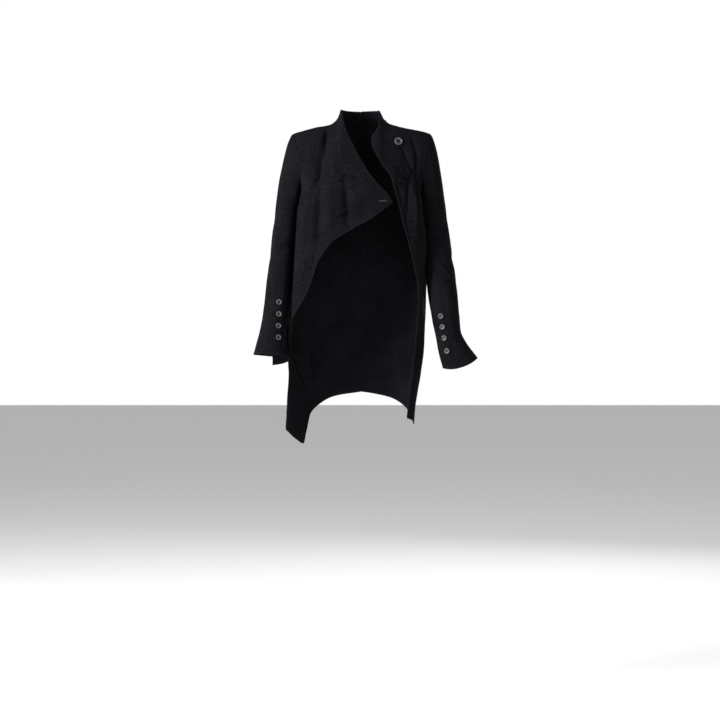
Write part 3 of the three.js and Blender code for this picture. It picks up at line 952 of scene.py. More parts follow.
    def _sharpen(self, mesh: Mesh, lines: list[Array], free: Array) -> None:
        """Marks the borders that lie in seams as sharp, so that each face shades flat there.

        Args:
            mesh: the mesh.
            lines: the points along each line round the border.
            free: how free each place on the border is.
        """
        sharp = np.zeros(len(mesh.vertices), bool)
        seam = free < 0.5
        sharp[lines[0][seam]] = True
        sharp[lines[-1][seam]] = True
        ends = np.zeros(len(mesh.edges) * 2, int)
        mesh.edges.foreach_get("vertices", ends)
        ends = ends.reshape(-1, 2)
        on_border = np.zeros(len(mesh.vertices), int)
        on_border[lines[0]] = 1
        on_border[lines[-1]] = 2
        same = on_border[ends[:, 0]] == on_border[ends[:, 1]]
        both = sharp[ends[:, 0]] & sharp[ends[:, 1]] & same
        mesh.edges.foreach_set("use_edge_sharp", both)


# ------------------------------------------------------------------ finishes

Colour = tuple[float, float, float]
BAND = 0.314


@dataclass
class Graph:
    """A node tree under construction."""

    tree: Tree

    def add(self, kind: str, inputs: dict | None = None, **settings: object) -> Node:
        """Adds a node.

        Args:
            kind: the node's type.
            inputs: values or sockets for its inputs, by name or number.
            settings: the node's own properties.

        Returns:
            The node.
        """
        node = self.tree.nodes.new(kind)
        for name, value in settings.items():
            setattr(node, name, value)
        for name, value in (inputs or {}).items():
            if isinstance(value, Socket):
                self.tree.links.new(value, node.inputs[name])
            else:
                node.inputs[name].default_value = value
        return node

    def out(self, kind: str, inputs: dict | None = None, **settings: object) -> Socket:
        """The first output of a new node."""
        return self.add(kind, inputs, **settings).outputs[0]

    def math(self, operation: str, *values: object) -> Socket:
        """The result of arithmetic on numbers or sockets."""
        return self.out("ShaderNodeMath", dict(enumerate(values)), operation=operation)

    def noise(self, where: Socket, scale: float, detail: float = 3, **more: float) -> Socket:
        """Noise with features of about 1 / scale.

        Args:
            where: the places that it reads.
            scale: features to a metre.
            detail: how many finer layers it has.
            more: its roughness or distortion.

        Returns:
            A number from 0 to 1.
        """
        names = {name.capitalize(): value for name, value in more.items()}
        inputs = {"Vector": where, "Scale": scale, "Detail": detail, **names}
        return self.add("ShaderNodeTexNoise", inputs).outputs["Fac"]

    def bands(self, where: Socket, pitch: float, way: str, wobble: float = 0) -> Socket:
        """Even ridges from 0 to 1, a pitch apart in metres, across X, Y, Z or the diagonal."""
        inputs = {"Vector": where, "Scale": BAND / pitch, "Distortion": wobble}
        return self.add("ShaderNodeTexWave", inputs, bands_direction=way).outputs["Fac"]

    def spread(self, value: Socket, to: Span, of: Span = (0, 1)) -> Socket:
        """A value carried from one range to another."""
        ends = {"From Min": of[0], "From Max": of[1], "To Min": to[0], "To Max": to[1]}
        return self.add("ShaderNodeMapRange", {"Value": value, **ends}).outputs["Result"]

    def blend(self, share: Socket, low: object, high: object) -> Socket:
        """A colour between two others.

        Args:
            share: the share of the way from low to high.
            low: a colour or a socket.
            high: a colour or a socket.

        Returns:
            The colour.
        """
        colours = [(*c, 1) if isinstance(c, tuple) else c for c in (low, high)]
        inputs = {0: share, 6: colours[0], 7: colours[1]}
        return self.add("ShaderNodeMix", inputs, data_type="RGBA").outputs[2]

    def bump(self, height: Socket, distance: float, under: Socket | None = None) -> Socket:
        """A surface raised by a height from 0 to 1 times a distance in metres."""
        inputs = {"Height": height, "Distance": distance} | ({} if under is None else {"Normal": under})
        return self.out("ShaderNodeBump", inputs)


class Finish:
    """What all the finishes share."""

    name: str = "finish"

    def build(self, graph: Graph, shader: Node) -> None:
        """Wires the finish's own nodes to the shader."""
        raise NotImplementedError

    def material(self) -> Material:
        """Builds the material.

        Returns:
            The material.
        """
        made = bpy.data.materials.new(self.name)
        made.use_nodes = True
        self.build(Graph(made.node_tree), made.node_tree.nodes["Principled BSDF"])
        return made


def dress(graph: Graph, shader: Node, **values: object) -> None:
    """Gives the shader's inputs values or sockets.

    Args:
        graph: the tree under construction.
        shader: the shader.
        values: what each input gets, by its name with _ for a space.
    """
    for name, value in values.items():
        socket = shader.inputs[name.replace("_", " ")]
        if isinstance(value, Socket):
            graph.tree.links.new(value, socket)
        else:
            socket.default_value = value


@dataclass(frozen=True)
class ClothFinish(Finish):
    """Black crinkled crepe with a fine weave."""

    name: str = "crepe"
    dark: Colour = (0.0009, 0.0009, 0.0014)
    light: Colour = (0.006, 0.0058, 0.0075)
    # the paler edges' colour, partly wear and partly painted highlight
    wear_and_highlight_colour: Colour = (0.0066, 0.0066, 0.008)
    bluish: tuple[float, ...] = (0.8, 0.82, 1, 1)
    yarn: float = 0.0009
    crinkle: float = 210
    stretch: float = 0.8
    crinkle_height: float = 0.002
    grain: float = 945
    grain_height: float = 0.0005
    patch: float = 16
    yarn_height: float = 0.00009
    tones: Span = (0.22, 0.56)
    # grain values over which the paler edges, partly wear and partly painted highlight, break up
    wear_highlight_breakup: Span = (0.35, 0.65)
    matte: Span = (0.95, 0.72)
    specular: float = 0.025
    sheen: float = 0.004

    def build(self, graph: Graph, shader: Node) -> None:
        """Weave, crinkle, broad unevenness and paler edges; the edges and the crinkle's ridges are
        lighter, partly as wear and partly as painted highlight.

        Args:
            graph: the tree under construction.
            shader: the shader.
        """
        uv = graph.add("ShaderNodeUVMap", uv_map="UVMap").outputs["UV"]
        long = graph.out("ShaderNodeMapping", {"Vector": uv, "Scale": (1, self.stretch, 1)})
        crinkle = graph.noise(long, self.crinkle, 2, roughness=0.5, distortion=0.15)
        grain = graph.noise(uv, self.grain, 3, roughness=0.6)
        broad = graph.noise(long, self.patch, 3)
        warp = graph.bands(uv, self.yarn, "X", 0.4)
        weft = graph.bands(uv, self.yarn, "Y", 0.4)
        weave = graph.math("MAXIMUM", warp, weft)
        # tone: lighter on the crinkle's ridges and darker in its hollows, partly wear and partly
        # painted highlight and shade, plus broad random unevenness
        fine, wide = graph.math("MULTIPLY", crinkle, 0.5), graph.math("MULTIPLY", broad, 0.3)
        tone = graph.math("ADD", fine, wide)
        tone = graph.spread(tone, (0, 1), self.tones)
        colour = graph.blend(tone, self.dark, self.light)
        # paler edges, partly wear and partly painted highlight, broken up by the grain
        wear = graph.add("ShaderNodeAttribute", attribute_name="wear").outputs["Fac"]
        rubbed_and_highlit = graph.math("MULTIPLY", wear, graph.spread(grain, (0.25, 1), self.wear_highlight_breakup))
        colour = graph.blend(rubbed_and_highlit, colour, self.wear_and_highlight_colour)
        rise = graph.bump(crinkle, self.crinkle_height)
        rise = graph.bump(grain, self.grain_height, rise)
        rise = graph.bump(weave, self.yarn_height, rise)
        dress(
            graph, shader, Base_Color=colour, Roughness=graph.spread(crinkle, self.matte),
            Normal=rise, Specular_IOR_Level=self.specular, Sheen_Weight=self.sheen,
            Sheen_Roughness=0.5, Sheen_Tint=self.bluish,
        )


@dataclass(frozen=True)
class ThreadFinish(Finish):
    """Spun sewing thread."""

    name: str = "thread"
    dark: Colour = (0.0006, 0.0006, 0.0009)
    light: Colour = (0.003, 0.003, 0.004)
    specular: float = 0.05
    roughness: float = 0.36
    bluish: tuple[float, ...] = (0.8, 0.84, 1, 1)
    ply: float = 0.0007
    ply_height: float = 0.00012
    fluff: float = 420
    fluff_shade: Span = (0.35, 1.0)
    fluff_matte: float = 0.3

    def build(self, graph: Graph, shader: Node) -> None:
        """Slanting plies, lighter where they stand up.

        Args:
            Slanting plies, their crests lighter as a painted highlight.
            shader: the shader.
        """
        where = graph.add("ShaderNodeTexCoord").outputs["Object"]
        plies = graph.bands(where, self.ply, "DIAGONAL", 1.2)
        uneven = graph.noise(where, self.fluff, 2)
        # painted highlight: lighter on the plies' crests and darker between them, unevenly with the
        # fluff
        tone = graph.math("MULTIPLY", plies, graph.spread(uneven, self.fluff_shade))
        dress(
            graph, shader, Base_Color=graph.blend(tone, self.dark, self.light),
            Roughness=graph.spread(uneven, (self.roughness, self.roughness + self.fluff_matte)),
            Normal=graph.bump(plies, self.ply_height), Specular_IOR_Level=self.specular,
            Specular_Tint=self.bluish,
        )


@dataclass(frozen=True)
class HornFinish(Finish):
    """Grey horn, mottled and softly polished."""

    name: str = "horn"
    dark: Colour = (0.009, 0.009, 0.0095)
    middle: Colour = (0.03, 0.03, 0.031)
    light: Colour = (0.062, 0.061, 0.06)
    # painted shade: the colour that the dish and the holes are darkened towards
    painted_shade: Colour = (0.0025, 0.0025, 0.003)
    cloud: float = 210
    cloud_band: Span = (0.34, 0.62)
    streak_band: Span = (0.3, 0.5)
    fleck: float = 900
    fleck_height: float = 0.00006
    growth: float = 0.0016
    growth_shade: float = 0.25
    dark_share: float = 0.85
    polish: Span = (0.28, 0.5)
    specular: float = 0.4

    def build(self, graph: Graph, shader: Node) -> None:
        """Cloudy mottling, growth lines and fine scratches, and painted shade that darkens the dish.

        Args:
            graph: the tree under construction.
            shader: the shader.
        """
        where = graph.add("ShaderNodeTexCoord").outputs["Object"]
        clouds = graph.noise(where, self.cloud, 3, distortion=1.4)
        flecks = graph.noise(where, self.fleck, 2)
        lines = graph.bands(where, self.growth, "DIAGONAL", 5)
        colour = graph.blend(graph.spread(clouds, (0, 1), self.cloud_band), self.middle, self.light)
        streak = graph.spread(clouds, (1, 0), self.streak_band)
        streak = graph.math("MULTIPLY", streak, self.dark_share)
        colour = graph.blend(streak, colour, self.dark)
        lines = graph.math("MULTIPLY", lines, self.growth_shade)
        colour = graph.blend(lines, colour, self.light)
        # painted shade: the dish and the holes darkened towards the painted shade colour
        well = graph.add("ShaderNodeAttribute", attribute_name="well").outputs["Fac"]
        colour = graph.blend(graph.math("MULTIPLY", well, self.dark_share), colour, self.painted_shade)
        dress(
            graph, shader, Base_Color=colour, Roughness=graph.spread(flecks, self.polish),
            Normal=graph.bump(flecks, self.fleck_height), Specular_IOR_Level=self.specular,
        )


@dataclass(frozen=True)
class FloorFinish(Finish):
    """Plain pale paper."""

    name: str = "floor"
    pale: Colour = (0.93, 0.93, 0.93)
    paler: Colour = (0.96, 0.96, 0.96)
    glow: float = 0.07

    def build(self, graph: Graph, shader: Node) -> None:
        """A barely uneven white.

        Args:
            graph: the tree under construction.
            shader: the shader.
        """
        where = graph.add("ShaderNodeTexCoord").outputs["Object"]
        colour = graph.blend(graph.noise(where, 2), self.pale, self.paler)
        dress(graph, shader, Base_Color=colour, Roughness=0.95, Specular_IOR_Level=0.1)
        dress(graph, shader, Emission_Color=(1, 1, 1, 1), Emission_Strength=self.glow)


# ------------------------------------------------------------------ the jacket's parts

DROPS_TOP = (0, 4, 12, 25, 42, 64, 88, 110, 128, 142, 152, 159, 163, 165)


@dataclass
class Bodice:
    """The two fronts and the two backs."""

    form: BodyForm
    step: float = 2.6
    tip_drop: float = 211
    edge_drop: float = 680

    def panel(
        self, panel: Panel, drops: Array, columns: Array, edges: tuple[Curve, Curve],
        hem: Curve | None, borders: Borders, seed: int,
    ) -> Cloth:
        """A panel from rows that each run from one angle to another at their own drop.

        Args:
            panel: the panel.
            drops: each row's drop, before it slants towards the hem.
            columns: the columns' places, from 0 to 1.
            edges: the angles of the first and last columns, by drop.
            hem: the hem's drop by angle, or None where the rows stay level.
            borders: what its borders are.
            seed: the seed of its crumple.

        Returns:
            The cloth.
        """
        form = self.form
        nominal = np.broadcast_to(drops[:, None], (len(drops), len(columns)))
        start, end = edges[0](nominal), edges[1](nominal)
        angle = mix(start, end, columns[None, :])
        drop = nominal
        if hem:
            reach = form.hem_nominal - form.hem_shift_from
            slant = smooth((nominal - form.hem_shift_from) / reach)
            drop = nominal + (hem(angle) - form.hem_nominal) * slant
        points = form.surface(panel, angle, drop)
        normals = form.normal(panel, angle, drop)
        on_shoulder = (not panel.is_back) | (np.abs(points[..., 0]) >= form.neck_half)
        normals[..., 1] = np.where((nominal == 0) & on_shoulder, 0, normals[..., 1])
        normals[..., 0] = np.where(np.abs(angle) == 180, 0, normals[..., 0])
        return Cloth(f"{panel.value}_cloth", points, unit(normals), borders, seed=seed)

    def seam(self, side: Side, behind: bool) -> Curve:
        """The armhole's edge and the side seam of a panel, by drop."""
        return lambda drop: self.form.arm_edge(side, behind, drop)

    def wrapped(self, behind: bool, end: float) -> Curve:
        """The right side's edge, which leaves the seam for its own angle below the vent's top."""
        seam = self.seam(Side.RIGHT, behind)
        return lambda drop: mix(seam(drop), end, self.form.wrap(drop))

    def centre(self, angle: float) -> Curve:
        """The centre back seam, by drop."""
        return lambda drop: np.full_like(drop, angle, dtype=float)

    def cloths(self) -> list[Cloth]:
        """The four panels' cloth.

        Returns:
            The right front, the left front, the right back and the left back.
        """
        form, free = self.form, Edge.FREE.value
        edge_right, edge_left = curve(form.edge_right), curve(form.edge_left)
        hem_right, hem_left = curve(form.hem_right), curve(form.hem_left)
        short = refine([*DROPS_TOP, self.tip_drop, self.edge_drop], self.step)
        long = refine([*DROPS_TOP, form.hem_nominal], self.step)
        open_short, open_long = ((rows > form.vent_open).astype(float) for rows in (short, long))
        underlap = self.wrapped(False, form.vent_underlap)
        tail = self.wrapped(True, form.vent_tail)
        side_left, back_left = self.seam(Side.LEFT, False), self.seam(Side.LEFT, True)
        return [
            self.panel(
                Panel.FRONT_RIGHT, short, np.linspace(0, 1, 112), (underlap, edge_right),
                None, Borders(first=open_short, last=free), 11,
            ),
            self.panel(
                Panel.FRONT_LEFT, long, np.linspace(0, 1, 68), (edge_left, side_left),
                hem_left, Borders(first=free), 22,
            ),
            self.panel(
                Panel.BACK_RIGHT, long, refine([0, 0.2733, 0.491, 0.503, 0.56, 1], 0.012),
                (self.centre(-180), tail), hem_right, Borders(last=open_long), 33,
            ),
            self.panel(
                Panel.BACK_LEFT, long, refine([0, 0.7267, 1], 0.013),
                (back_left, self.centre(180)), hem_left, Borders(), 44,
            ),
        ]


@dataclass
class Collar:
    """The stand from each front's neck seam round the back of the neck."""

    form: BodyForm
    height: float = 40
    seam: float = -0.6
    level: float = 1.4
    lean: float = 0.45
    rows: int = 11
    columns: int = 50

    def cloth(self, side: Side) -> Cloth:
        """Half of the stand.

        Args:
            side: which half.

        Returns:
            Its cloth, from its free top edge down to the neck seam.
        """
        form = self.form
        tops, edges = (
            (form.top_right, form.edge_right) if side is Side.RIGHT
            else (form.top_left, form.edge_left)
        )
        top, ridge = curve(tops), np.array([0.0])
        start = form.surface(Panel.of(side, False), curve(edges)(ridge), ridge)
        tip = abs(float(start[0, 0]))
        foot = form.neck_rise + self.seam
        h, t = np.meshgrid(
            np.linspace(0, 1, self.rows), np.linspace(0, 1, self.columns), indexing="ij"
        )
        out = mix(tip, form.neck_half, h)
        turn = np.radians(90 * t)
        rise = mix(np.maximum(top(out), foot), mix(self.height, foot, h), smooth(t * self.level))
        depth = form.neck_depth / form.neck_half
        across, back = side.value * np.cos(turn), np.sin(turn)
        points = np.stack([across * out, out * depth * back, rise], axis=-1)
        normals = np.stack([across, back, np.full_like(turn, self.lean)], axis=-1)
        borders = Borders(top=Edge.FREE.value, bottom=Edge.SEAM.value)
        name = f"stand_{side.name.lower()}_cloth"
        return Cloth(name, points, unit(normals), borders, crumple=0.15, groove=0.4, seed=55)


@dataclass
class Sleeve:
    """A two-piece sleeve, its top edge turned in under the armhole's."""

    form: SleeveForm
    tuck: float = 2.6
    rows_down: int = 155
    columns_top: int = 76
    columns_under: int = 46

    def rows(self) -> Array:
        """The rows' places, over the cap and down the sleeve."""
        cap = refine([-1, -0.9, -0.5, 0], 0.04)[:-1]
        return np.concatenate([cap, np.linspace(0, self.form.length, self.rows_down)])

    def cloth(self, under: bool) -> Cloth:
        """One of the sleeve's two pieces.

        Args:
            under: whether it is the under sleeve.

        Returns:
            Its cloth, from the armhole down to the cuff.
        """
        form = self.form
        start, end, columns = form.back_seam - 360, form.front_seam, self.columns_top
        if under:
            start, end, columns = form.front_seam, form.back_seam, self.columns_under
        along, t = np.meshgrid(self.rows(), np.linspace(0, 1, columns), indexing="ij")
        phi = mix(start, end, t)
        points, normals = form.surface(phi, along), form.normal(phi, along)
        if under:
            points = points + form.hang(phi, along)
        tucked = np.array([-form.side.value * self.tuck, 0, 0])
        points[0] += tucked - normals[0] * self.tuck / 2
        side = form.side.name.lower()
        name = f"sleeve_{side}_{'under' if under else 'top'}_cloth"
        seed = 66 + under + 10 * (form.side is Side.LEFT)
        return Cloth(name, points, normals, Borders(), seed=seed, crumple=0.6, pucker=0.7)


# each sleeve's rings and creases, in the columns of SleeveForm.rings and of creases_of
RIGHT_RINGS: Rows = (
    (0, -222, -211, -160, -222, 0, 46, 0, 0), (93, -233, -304, -171, -311, -3, 44, 0, 0),
    (187, -244, -398, -181, -402, -9, 42, 0, 0), (280, -254, -491, -191, -494, -17, 41, 0, 0),
    (328, -263, -538, -195, -541, -21, 42, 0, 4), (359, -271, -568, -195, -572, -23, 44, -2, 12),
    (389, -279, -597, -187, -606, -25, 46, -6, 21),
)
LEFT_RINGS: Rows = (
    (0, 217, -211, 155, -220, 0, 46, 0, 0), (93, 230, -304, 161, -312, -3, 44, 0, 0),
    (187, 243, -398, 169, -406, -9, 42, 0, 0), (280, 252, -491, 183, -502, -17, 41, 0, 0),
    (328, 256, -536, 193, -552, -21, 42, 0, 0), (362, 270, -567, 200, -590, -23, 44, 5, 2),
    (407, 299, -605, 211, -632, -25, 46, 11, 5),
)

RIGHT_CREASES: Rows = (
    (92, 60, 64, 116, 6, -1.2), (98, 100, 60, 150, 6, -1.3), (96, 122, 58, 168, 5, 1),
    (80, 10, 74, 100, 7, -1.2), (30, 30, 36, 130, 8, -1.1), (100, 170, 92, 300, 7, -1.6),
    (62, 190, 70, 300, 7, -1), (20, 150, 40, 190, 7, -1), (-20, 90, 10, 140, 7, -1.3),
    (120, 90, 165, 130, 6, -1.8), (130, 130, 176, 158, 6, 1.4), (190, 100, 236, 146, 6, -1.7),
    (205, 150, 252, 172, 6, -1.4), (-60, 60, -46, 170, 7, -1.4), (-36, 200, -30, 300, 7, -1.2),
    (110, 262, 116, 350, 5, -1.4), (40, 300, 52, 372, 6, -0.9), (-70, 250, -40, 330, 6, -1.1),
)
LEFT_CREASES: Rows = (
    (92, 72, 60, 120, 5, -1.9), (96, 96, 58, 150, 5, 1.5), (100, 118, 54, 176, 5, -2),
    (86, 150, 50, 196, 5, 1.3), (110, 60, 104, 180, 5, -1.8), (70, 10, 66, 90, 6, -1.8),
    (40, 30, 44, 120, 6, -1.5), (60, 200, 66, 290, 6, -1.4), (95, 210, 90, 300, 5, -1.4),
    (20, 90, 40, 130, 6, -1.6), (-10, 120, 20, 160, 6, -1.5), (130, 120, 160, 150, 6, -1.9),
    (140, 150, 175, 172, 5, 1.4), (200, 110, 240, 150, 6, -1.8), (215, 150, 255, 178, 6, -1.5),
    (-60, 60, -50, 160, 7, -1.5), (-40, 190, -30, 280, 7, -1.2), (60, 300, 66, 380, 5, -1.1),
    (30, 320, 20, 390, 6, 1.2), (84, 340, 98, 392, 4, -1.6),
)

# ------------------------------------------------------------------ the sewing


def from_nodes(name: str, base: Mesh, tree: Tree, values: dict[str, float]) -> Piece:
    """Runs a tree of geometry nodes once and keeps its result as a plain mesh.

    Args:
        name: the piece's name.
        base: the mesh that the tree starts from.
        tree: the tree.
        values: its inputs, by their names.

    Returns:
        The piece, linked into the scene with no modifier.
    """
    piece = link(name, base)
    modifier = piece.modifiers.new(tree.name, "NODES")
    modifier.node_group = tree
    for socket in tree.interface.items_tree:
        if socket.name in values:
            modifier[socket.identifier] = values[socket.name]
    made = settle(piece)
    bpy.data.meshes.remove(base)
    made.name = name
    made.update()
    return piece


def new_tree(name: str, inputs: Sequence[str]) -> tuple[Graph, Node]:
    """Starts a tree of geometry nodes with a mesh in and a mesh out.

    Args:
        name: the tree's name.
        inputs: the names of its number inputs.

    Returns:
        The tree under construction, and the node that gives its inputs.
    """
    tree = bpy.data.node_groups.new(name, "GeometryNodeTree")
    sockets = [("Mesh", "INPUT", "Geometry"), *((label, "INPUT", "Float") for label in inputs)]
    for label, way, kind in (*sockets, ("Mesh", "OUTPUT", "Geometry")):
        tree.interface.new_socket(name=label, in_out=way, socket_type=f"NodeSocket{kind}")
    graph = Graph(tree)
    return graph, graph.add("NodeGroupInput")


def end_tree(graph: Graph, geometry: Socket, material: Material) -> Tree:
    """Ends a tree with real geometry in one material.

    Args:
        graph: the tree under construction.
        geometry: what it has made.
        material: the material.

    Returns:
        The finished tree.
    """
    real = graph.out("GeometryNodeRealizeInstances", {0: geometry})
    done = graph.out("GeometryNodeSetMaterial", {"Geometry": real, "Material": material})
    graph.add("NodeGroupOutput", {0: done})
    return graph.tree


def attribute(graph: Graph, name: str) -> Socket:
    """A vector that is kept on the points under a name."""
    return graph.out("GeometryNodeInputNamedAttribute", {"Name": name}, data_type="FLOAT_VECTOR")


def facing(graph: Graph, along: Socket) -> Socket:
    """A turn with X along a direction and Z along the attribute "up".

    Args:
        graph: the tree under construction.
        along: the direction.

    Returns:
        The turn.
    """
    kind = "FunctionNodeAlignRotationToVector"
    turn = graph.out(kind, {"Vector": along}, axis="X")
    inputs = {"Rotation": turn, "Vector": attribute(graph, "up")}
    return graph.out(kind, inputs, axis="Z", pivot_axis="X")


def path_of(graph: Graph, given: Node, step: str) -> Socket:
    """The given mesh's edges as curves, with a point at every step.

    Args:
        graph: the tree under construction.
        given: the node that gives its inputs.
        step: the name of the step's input.

    Returns:
        The curves.
    """
    path = graph.out("GeometryNodeMeshToCurve", {0: given.outputs[0]})
    inputs = {"Curve": path, "Length": given.outputs[step]}
    return graph.out("GeometryNodeResampleCurve", inputs, mode="LENGTH")


def keep_vectors(mesh: Mesh, **columns: Array) -> None:
    """Keeps vectors on a mesh's points.

    Args:
        mesh: the mesh.
        columns: a vector for each point, by the name they are kept under.
    """
    for name, values in columns.items():
        made = mesh.attributes.new(name, "FLOAT_VECTOR", "POINT")
        made.data.foreach_set("vector", values.ravel())


# the fewest points of free border that are sewn
SHORTEST_RUN = 4


@dataclass
class Line:
    """Points in metres for thread to follow, and the way out of the cloth at each."""

    points: Array
    ups: Array


def line_mesh(name: str, lines: Sequence[Line]) -> Mesh:
    """A mesh of edges along lines, with their outward directions as the attribute "up".

    Args:
        name: the mesh's name.
        lines: the lines.

    Returns:
        The mesh.
    """
    points = np.concatenate([line.points for line in lines])
    edges, start = [], 0
    for line in lines:
        edges += [(start + i, start + i + 1) for i in range(len(line.points) - 1)]
        start += len(line.points)
    mesh = bpy.data.meshes.new(name)
    mesh.from_pydata(points.tolist(), edges, [])
    keep_vectors(mesh, up=np.concatenate([line.ups for line in lines]))
    return mesh


@dataclass(frozen=True)
class Stitching:
    """A row of stitches, with sizes in metres."""

    material: Material
    pitch: float = 0.0032
    length: float = 0.0026
    width: float = 0.00065
    height: float = 0.0005

    def sew(self, name: str, lines: Sequence[Line]) -> Piece:
        """Stitches along lines.

        Args:
            name: the piece's name.
            lines: the lines.

        Returns:
            The stitches, as one piece.
        """
        values = {
            "Pitch": self.pitch, "Length": self.length, "Width": self.width, "Height": self.height,
        }
        graph, given = new_tree("row_of_stitches", list(values))
        path = path_of(graph, given, "Pitch")
        ball = graph.out("GeometryNodeMeshUVSphere", {"Segments": 6, "Rings": 4, "Radius": 0.5})
        labels = zip("XYZ", ("Length", "Width", "Height"))
        size = graph.out("ShaderNodeCombineXYZ", {axis: given.outputs[label] for axis, label in labels})
        turn = facing(graph, graph.out("GeometryNodeInputTangent"))
        placed = {"Points": path, "Instance": ball, "Rotation": turn, "Scale": size}
        stitches = graph.out("GeometryNodeInstanceOnPoints", placed)
        tree = end_tree(graph, stitches, self.material)
        return from_nodes(name, line_mesh(name, lines), tree, values)


@dataclass(frozen=True)
class Strand:
    """A round thread, with sizes in metres."""

    material: Material
    radius: float
    step: float = 0.001

    def lay(self, name: str, lines: Sequence[Line]) -> Piece:
        """Threads along lines.

        Args:
            name: the piece's name.
            lines: the lines.

        Returns:
            The threads, as one piece.
        """
        values = {"Radius": self.radius, "Step": self.step}
        graph, given = new_tree("round_thread", list(values))
        ring = {"Resolution": 6, "Radius": given.outputs["Radius"]}
        ring = graph.out("GeometryNodeCurvePrimitiveCircle", ring)
        path = path_of(graph, given, "Step")
        tube = {"Curve": path, "Profile Curve": ring, "Fill Caps": True}
        tube = graph.out("GeometryNodeCurveToMesh", tube)
        tree = end_tree(graph, tube, self.material)
        return from_nodes(name, line_mesh(name, lines), tree, values)


@dataclass
class Skin:
    """The outer face of a cloth, for finding places on it."""

    cloth: Cloth
    tree: BVHTree = field(init=False)
    sign: float = field(init=False)

    def __post_init__(self) -> None:
        """Builds the search tree, in millimetres."""
        rows, columns = self.cloth.outer.shape[:2]
        faces = [
            (i * columns + j, (i + 1) * columns + j, (i + 1) * columns + j + 1, i * columns + j + 1)
            for i in range(rows - 1)
            for j in range(columns - 1)
        ]
        self.tree = BVHTree.FromPolygons(self.cloth.outer.reshape(-1, 3).tolist(), faces)
        self.sign = -1.0 if self.cloth.turned_in() else 1.0

    def nearest(self, point: Array) -> tuple[Array, Array]:
        """The nearest place on the face and the way out of the cloth there."""
        place, normal, *_ = self.tree.find_nearest(Vector(point))
        return np.array(place), np.array(normal) * self.sign

    def line(self, points: Array, lift: float) -> Line:
        """A line over the face.

        Args:
            points: places near it, in millimetres.
            lift: how far the line lies off it.

        Returns:
            The line.
        """
        places, ups = (np.array(column) for column in zip(*map(self.nearest, points)))
        return Line((places + ups * lift) * MM, ups)

    def free_runs(self) -> list[Array]:
        """The grid places along each unbroken stretch of free border.

        Returns:
            A row and a column for each place, in order.
        """
        place, _, free = self.cloth.perimeter()
        start = int(np.argmin(free))
        place, free = np.roll(place, -start, axis=0), np.roll(free, -start) > 0.5
        turns = np.flatnonzero(np.diff(free.astype(int))) + 1
        parts = zip(np.split(place, turns), np.split(free, turns))
        return [run for run, is_free in parts if is_free[0] and len(run) >= SHORTEST_RUN]

    def inset_lines(self, inset: float, lift: float, margin: float = 0.92) -> list[Line]:
        """Lines along the free borders.

        Args:
            inset: how far in from the border each line runs.
            lift: how far it lies off the face.
            margin: the share of the inset that is left where a line turns a corner.

        Returns:
            A line for each stretch of free border.
        """
        outer = self.cloth.outer
        lines = []
        for run in self.free_runs():
            border, up = outer[run[:, 0], run[:, 1]], self.cloth.normals[run[:, 0], run[:, 1]]
            inward = unit(np.cross(up, unit(np.gradient(border, axis=0)))) * inset
            half = len(border) // 2
            off_cloth = [
                np.linalg.norm(outer.reshape(-1, 3) - border[half] - step, axis=1).min()
                for step in (inward[half], -inward[half])
            ]
            inner = border + (inward if off_cloth[0] <= off_cloth[1] else -inward)
            tree = search_tree(border)
            keep = [tree.find(point)[2] > inset * margin for point in inner]
            lines.append(self.line(inner[keep], lift))
        return lines


@dataclass(frozen=True)
class Buttonhole:
    """A hand-worked buttonhole: close stitches along both sides of a slit, and a bar at each end."""

    form: BodyForm
    skin: Skin
    material: Material
    angle: float = 14.2
    drop: float = 208.5
    length: float = 17.0
    gap: float = 1.5
    bar: float = 3.0
    bar_gap: float = 0.4
    lift: float = 0.15

    def sew(self) -> Piece:
        """Works the buttonhole in the right front.

        Returns:
            Its stitches, as one piece.
        """
        centre = self.form.surface(Panel.FRONT_RIGHT, np.array(self.angle), np.array(self.drop))
        place, up = self.skin.nearest(centre)
        along = unit(np.cross(up, (0, 0, 1)))
        across = np.cross(up, along)
        half, end = self.length / 2, self.length / 2 + self.bar_gap
        rows = []
        for side in (-1, 1):
            edge = place + across * side * self.gap / 2
            rows.append([edge + along * x for x in np.linspace(-half, half, 22)])
        for side in (-1, 1):
            tip = place + along * side * end
            rows.append([tip + across * y for y in np.linspace(-self.bar / 2, self.bar / 2, 5)])
        lines = [self.skin.line(np.array(row), self.lift) for row in rows]
        worked = Stitching(self.material, pitch=0.00062, length=0.00055, width=0.0018, height=0.0009)
        return worked.sew("buttonhole", lines)


# a leaf's or petal's centre, its direction in radians and its size
Blade = tuple[Array, float, Array]


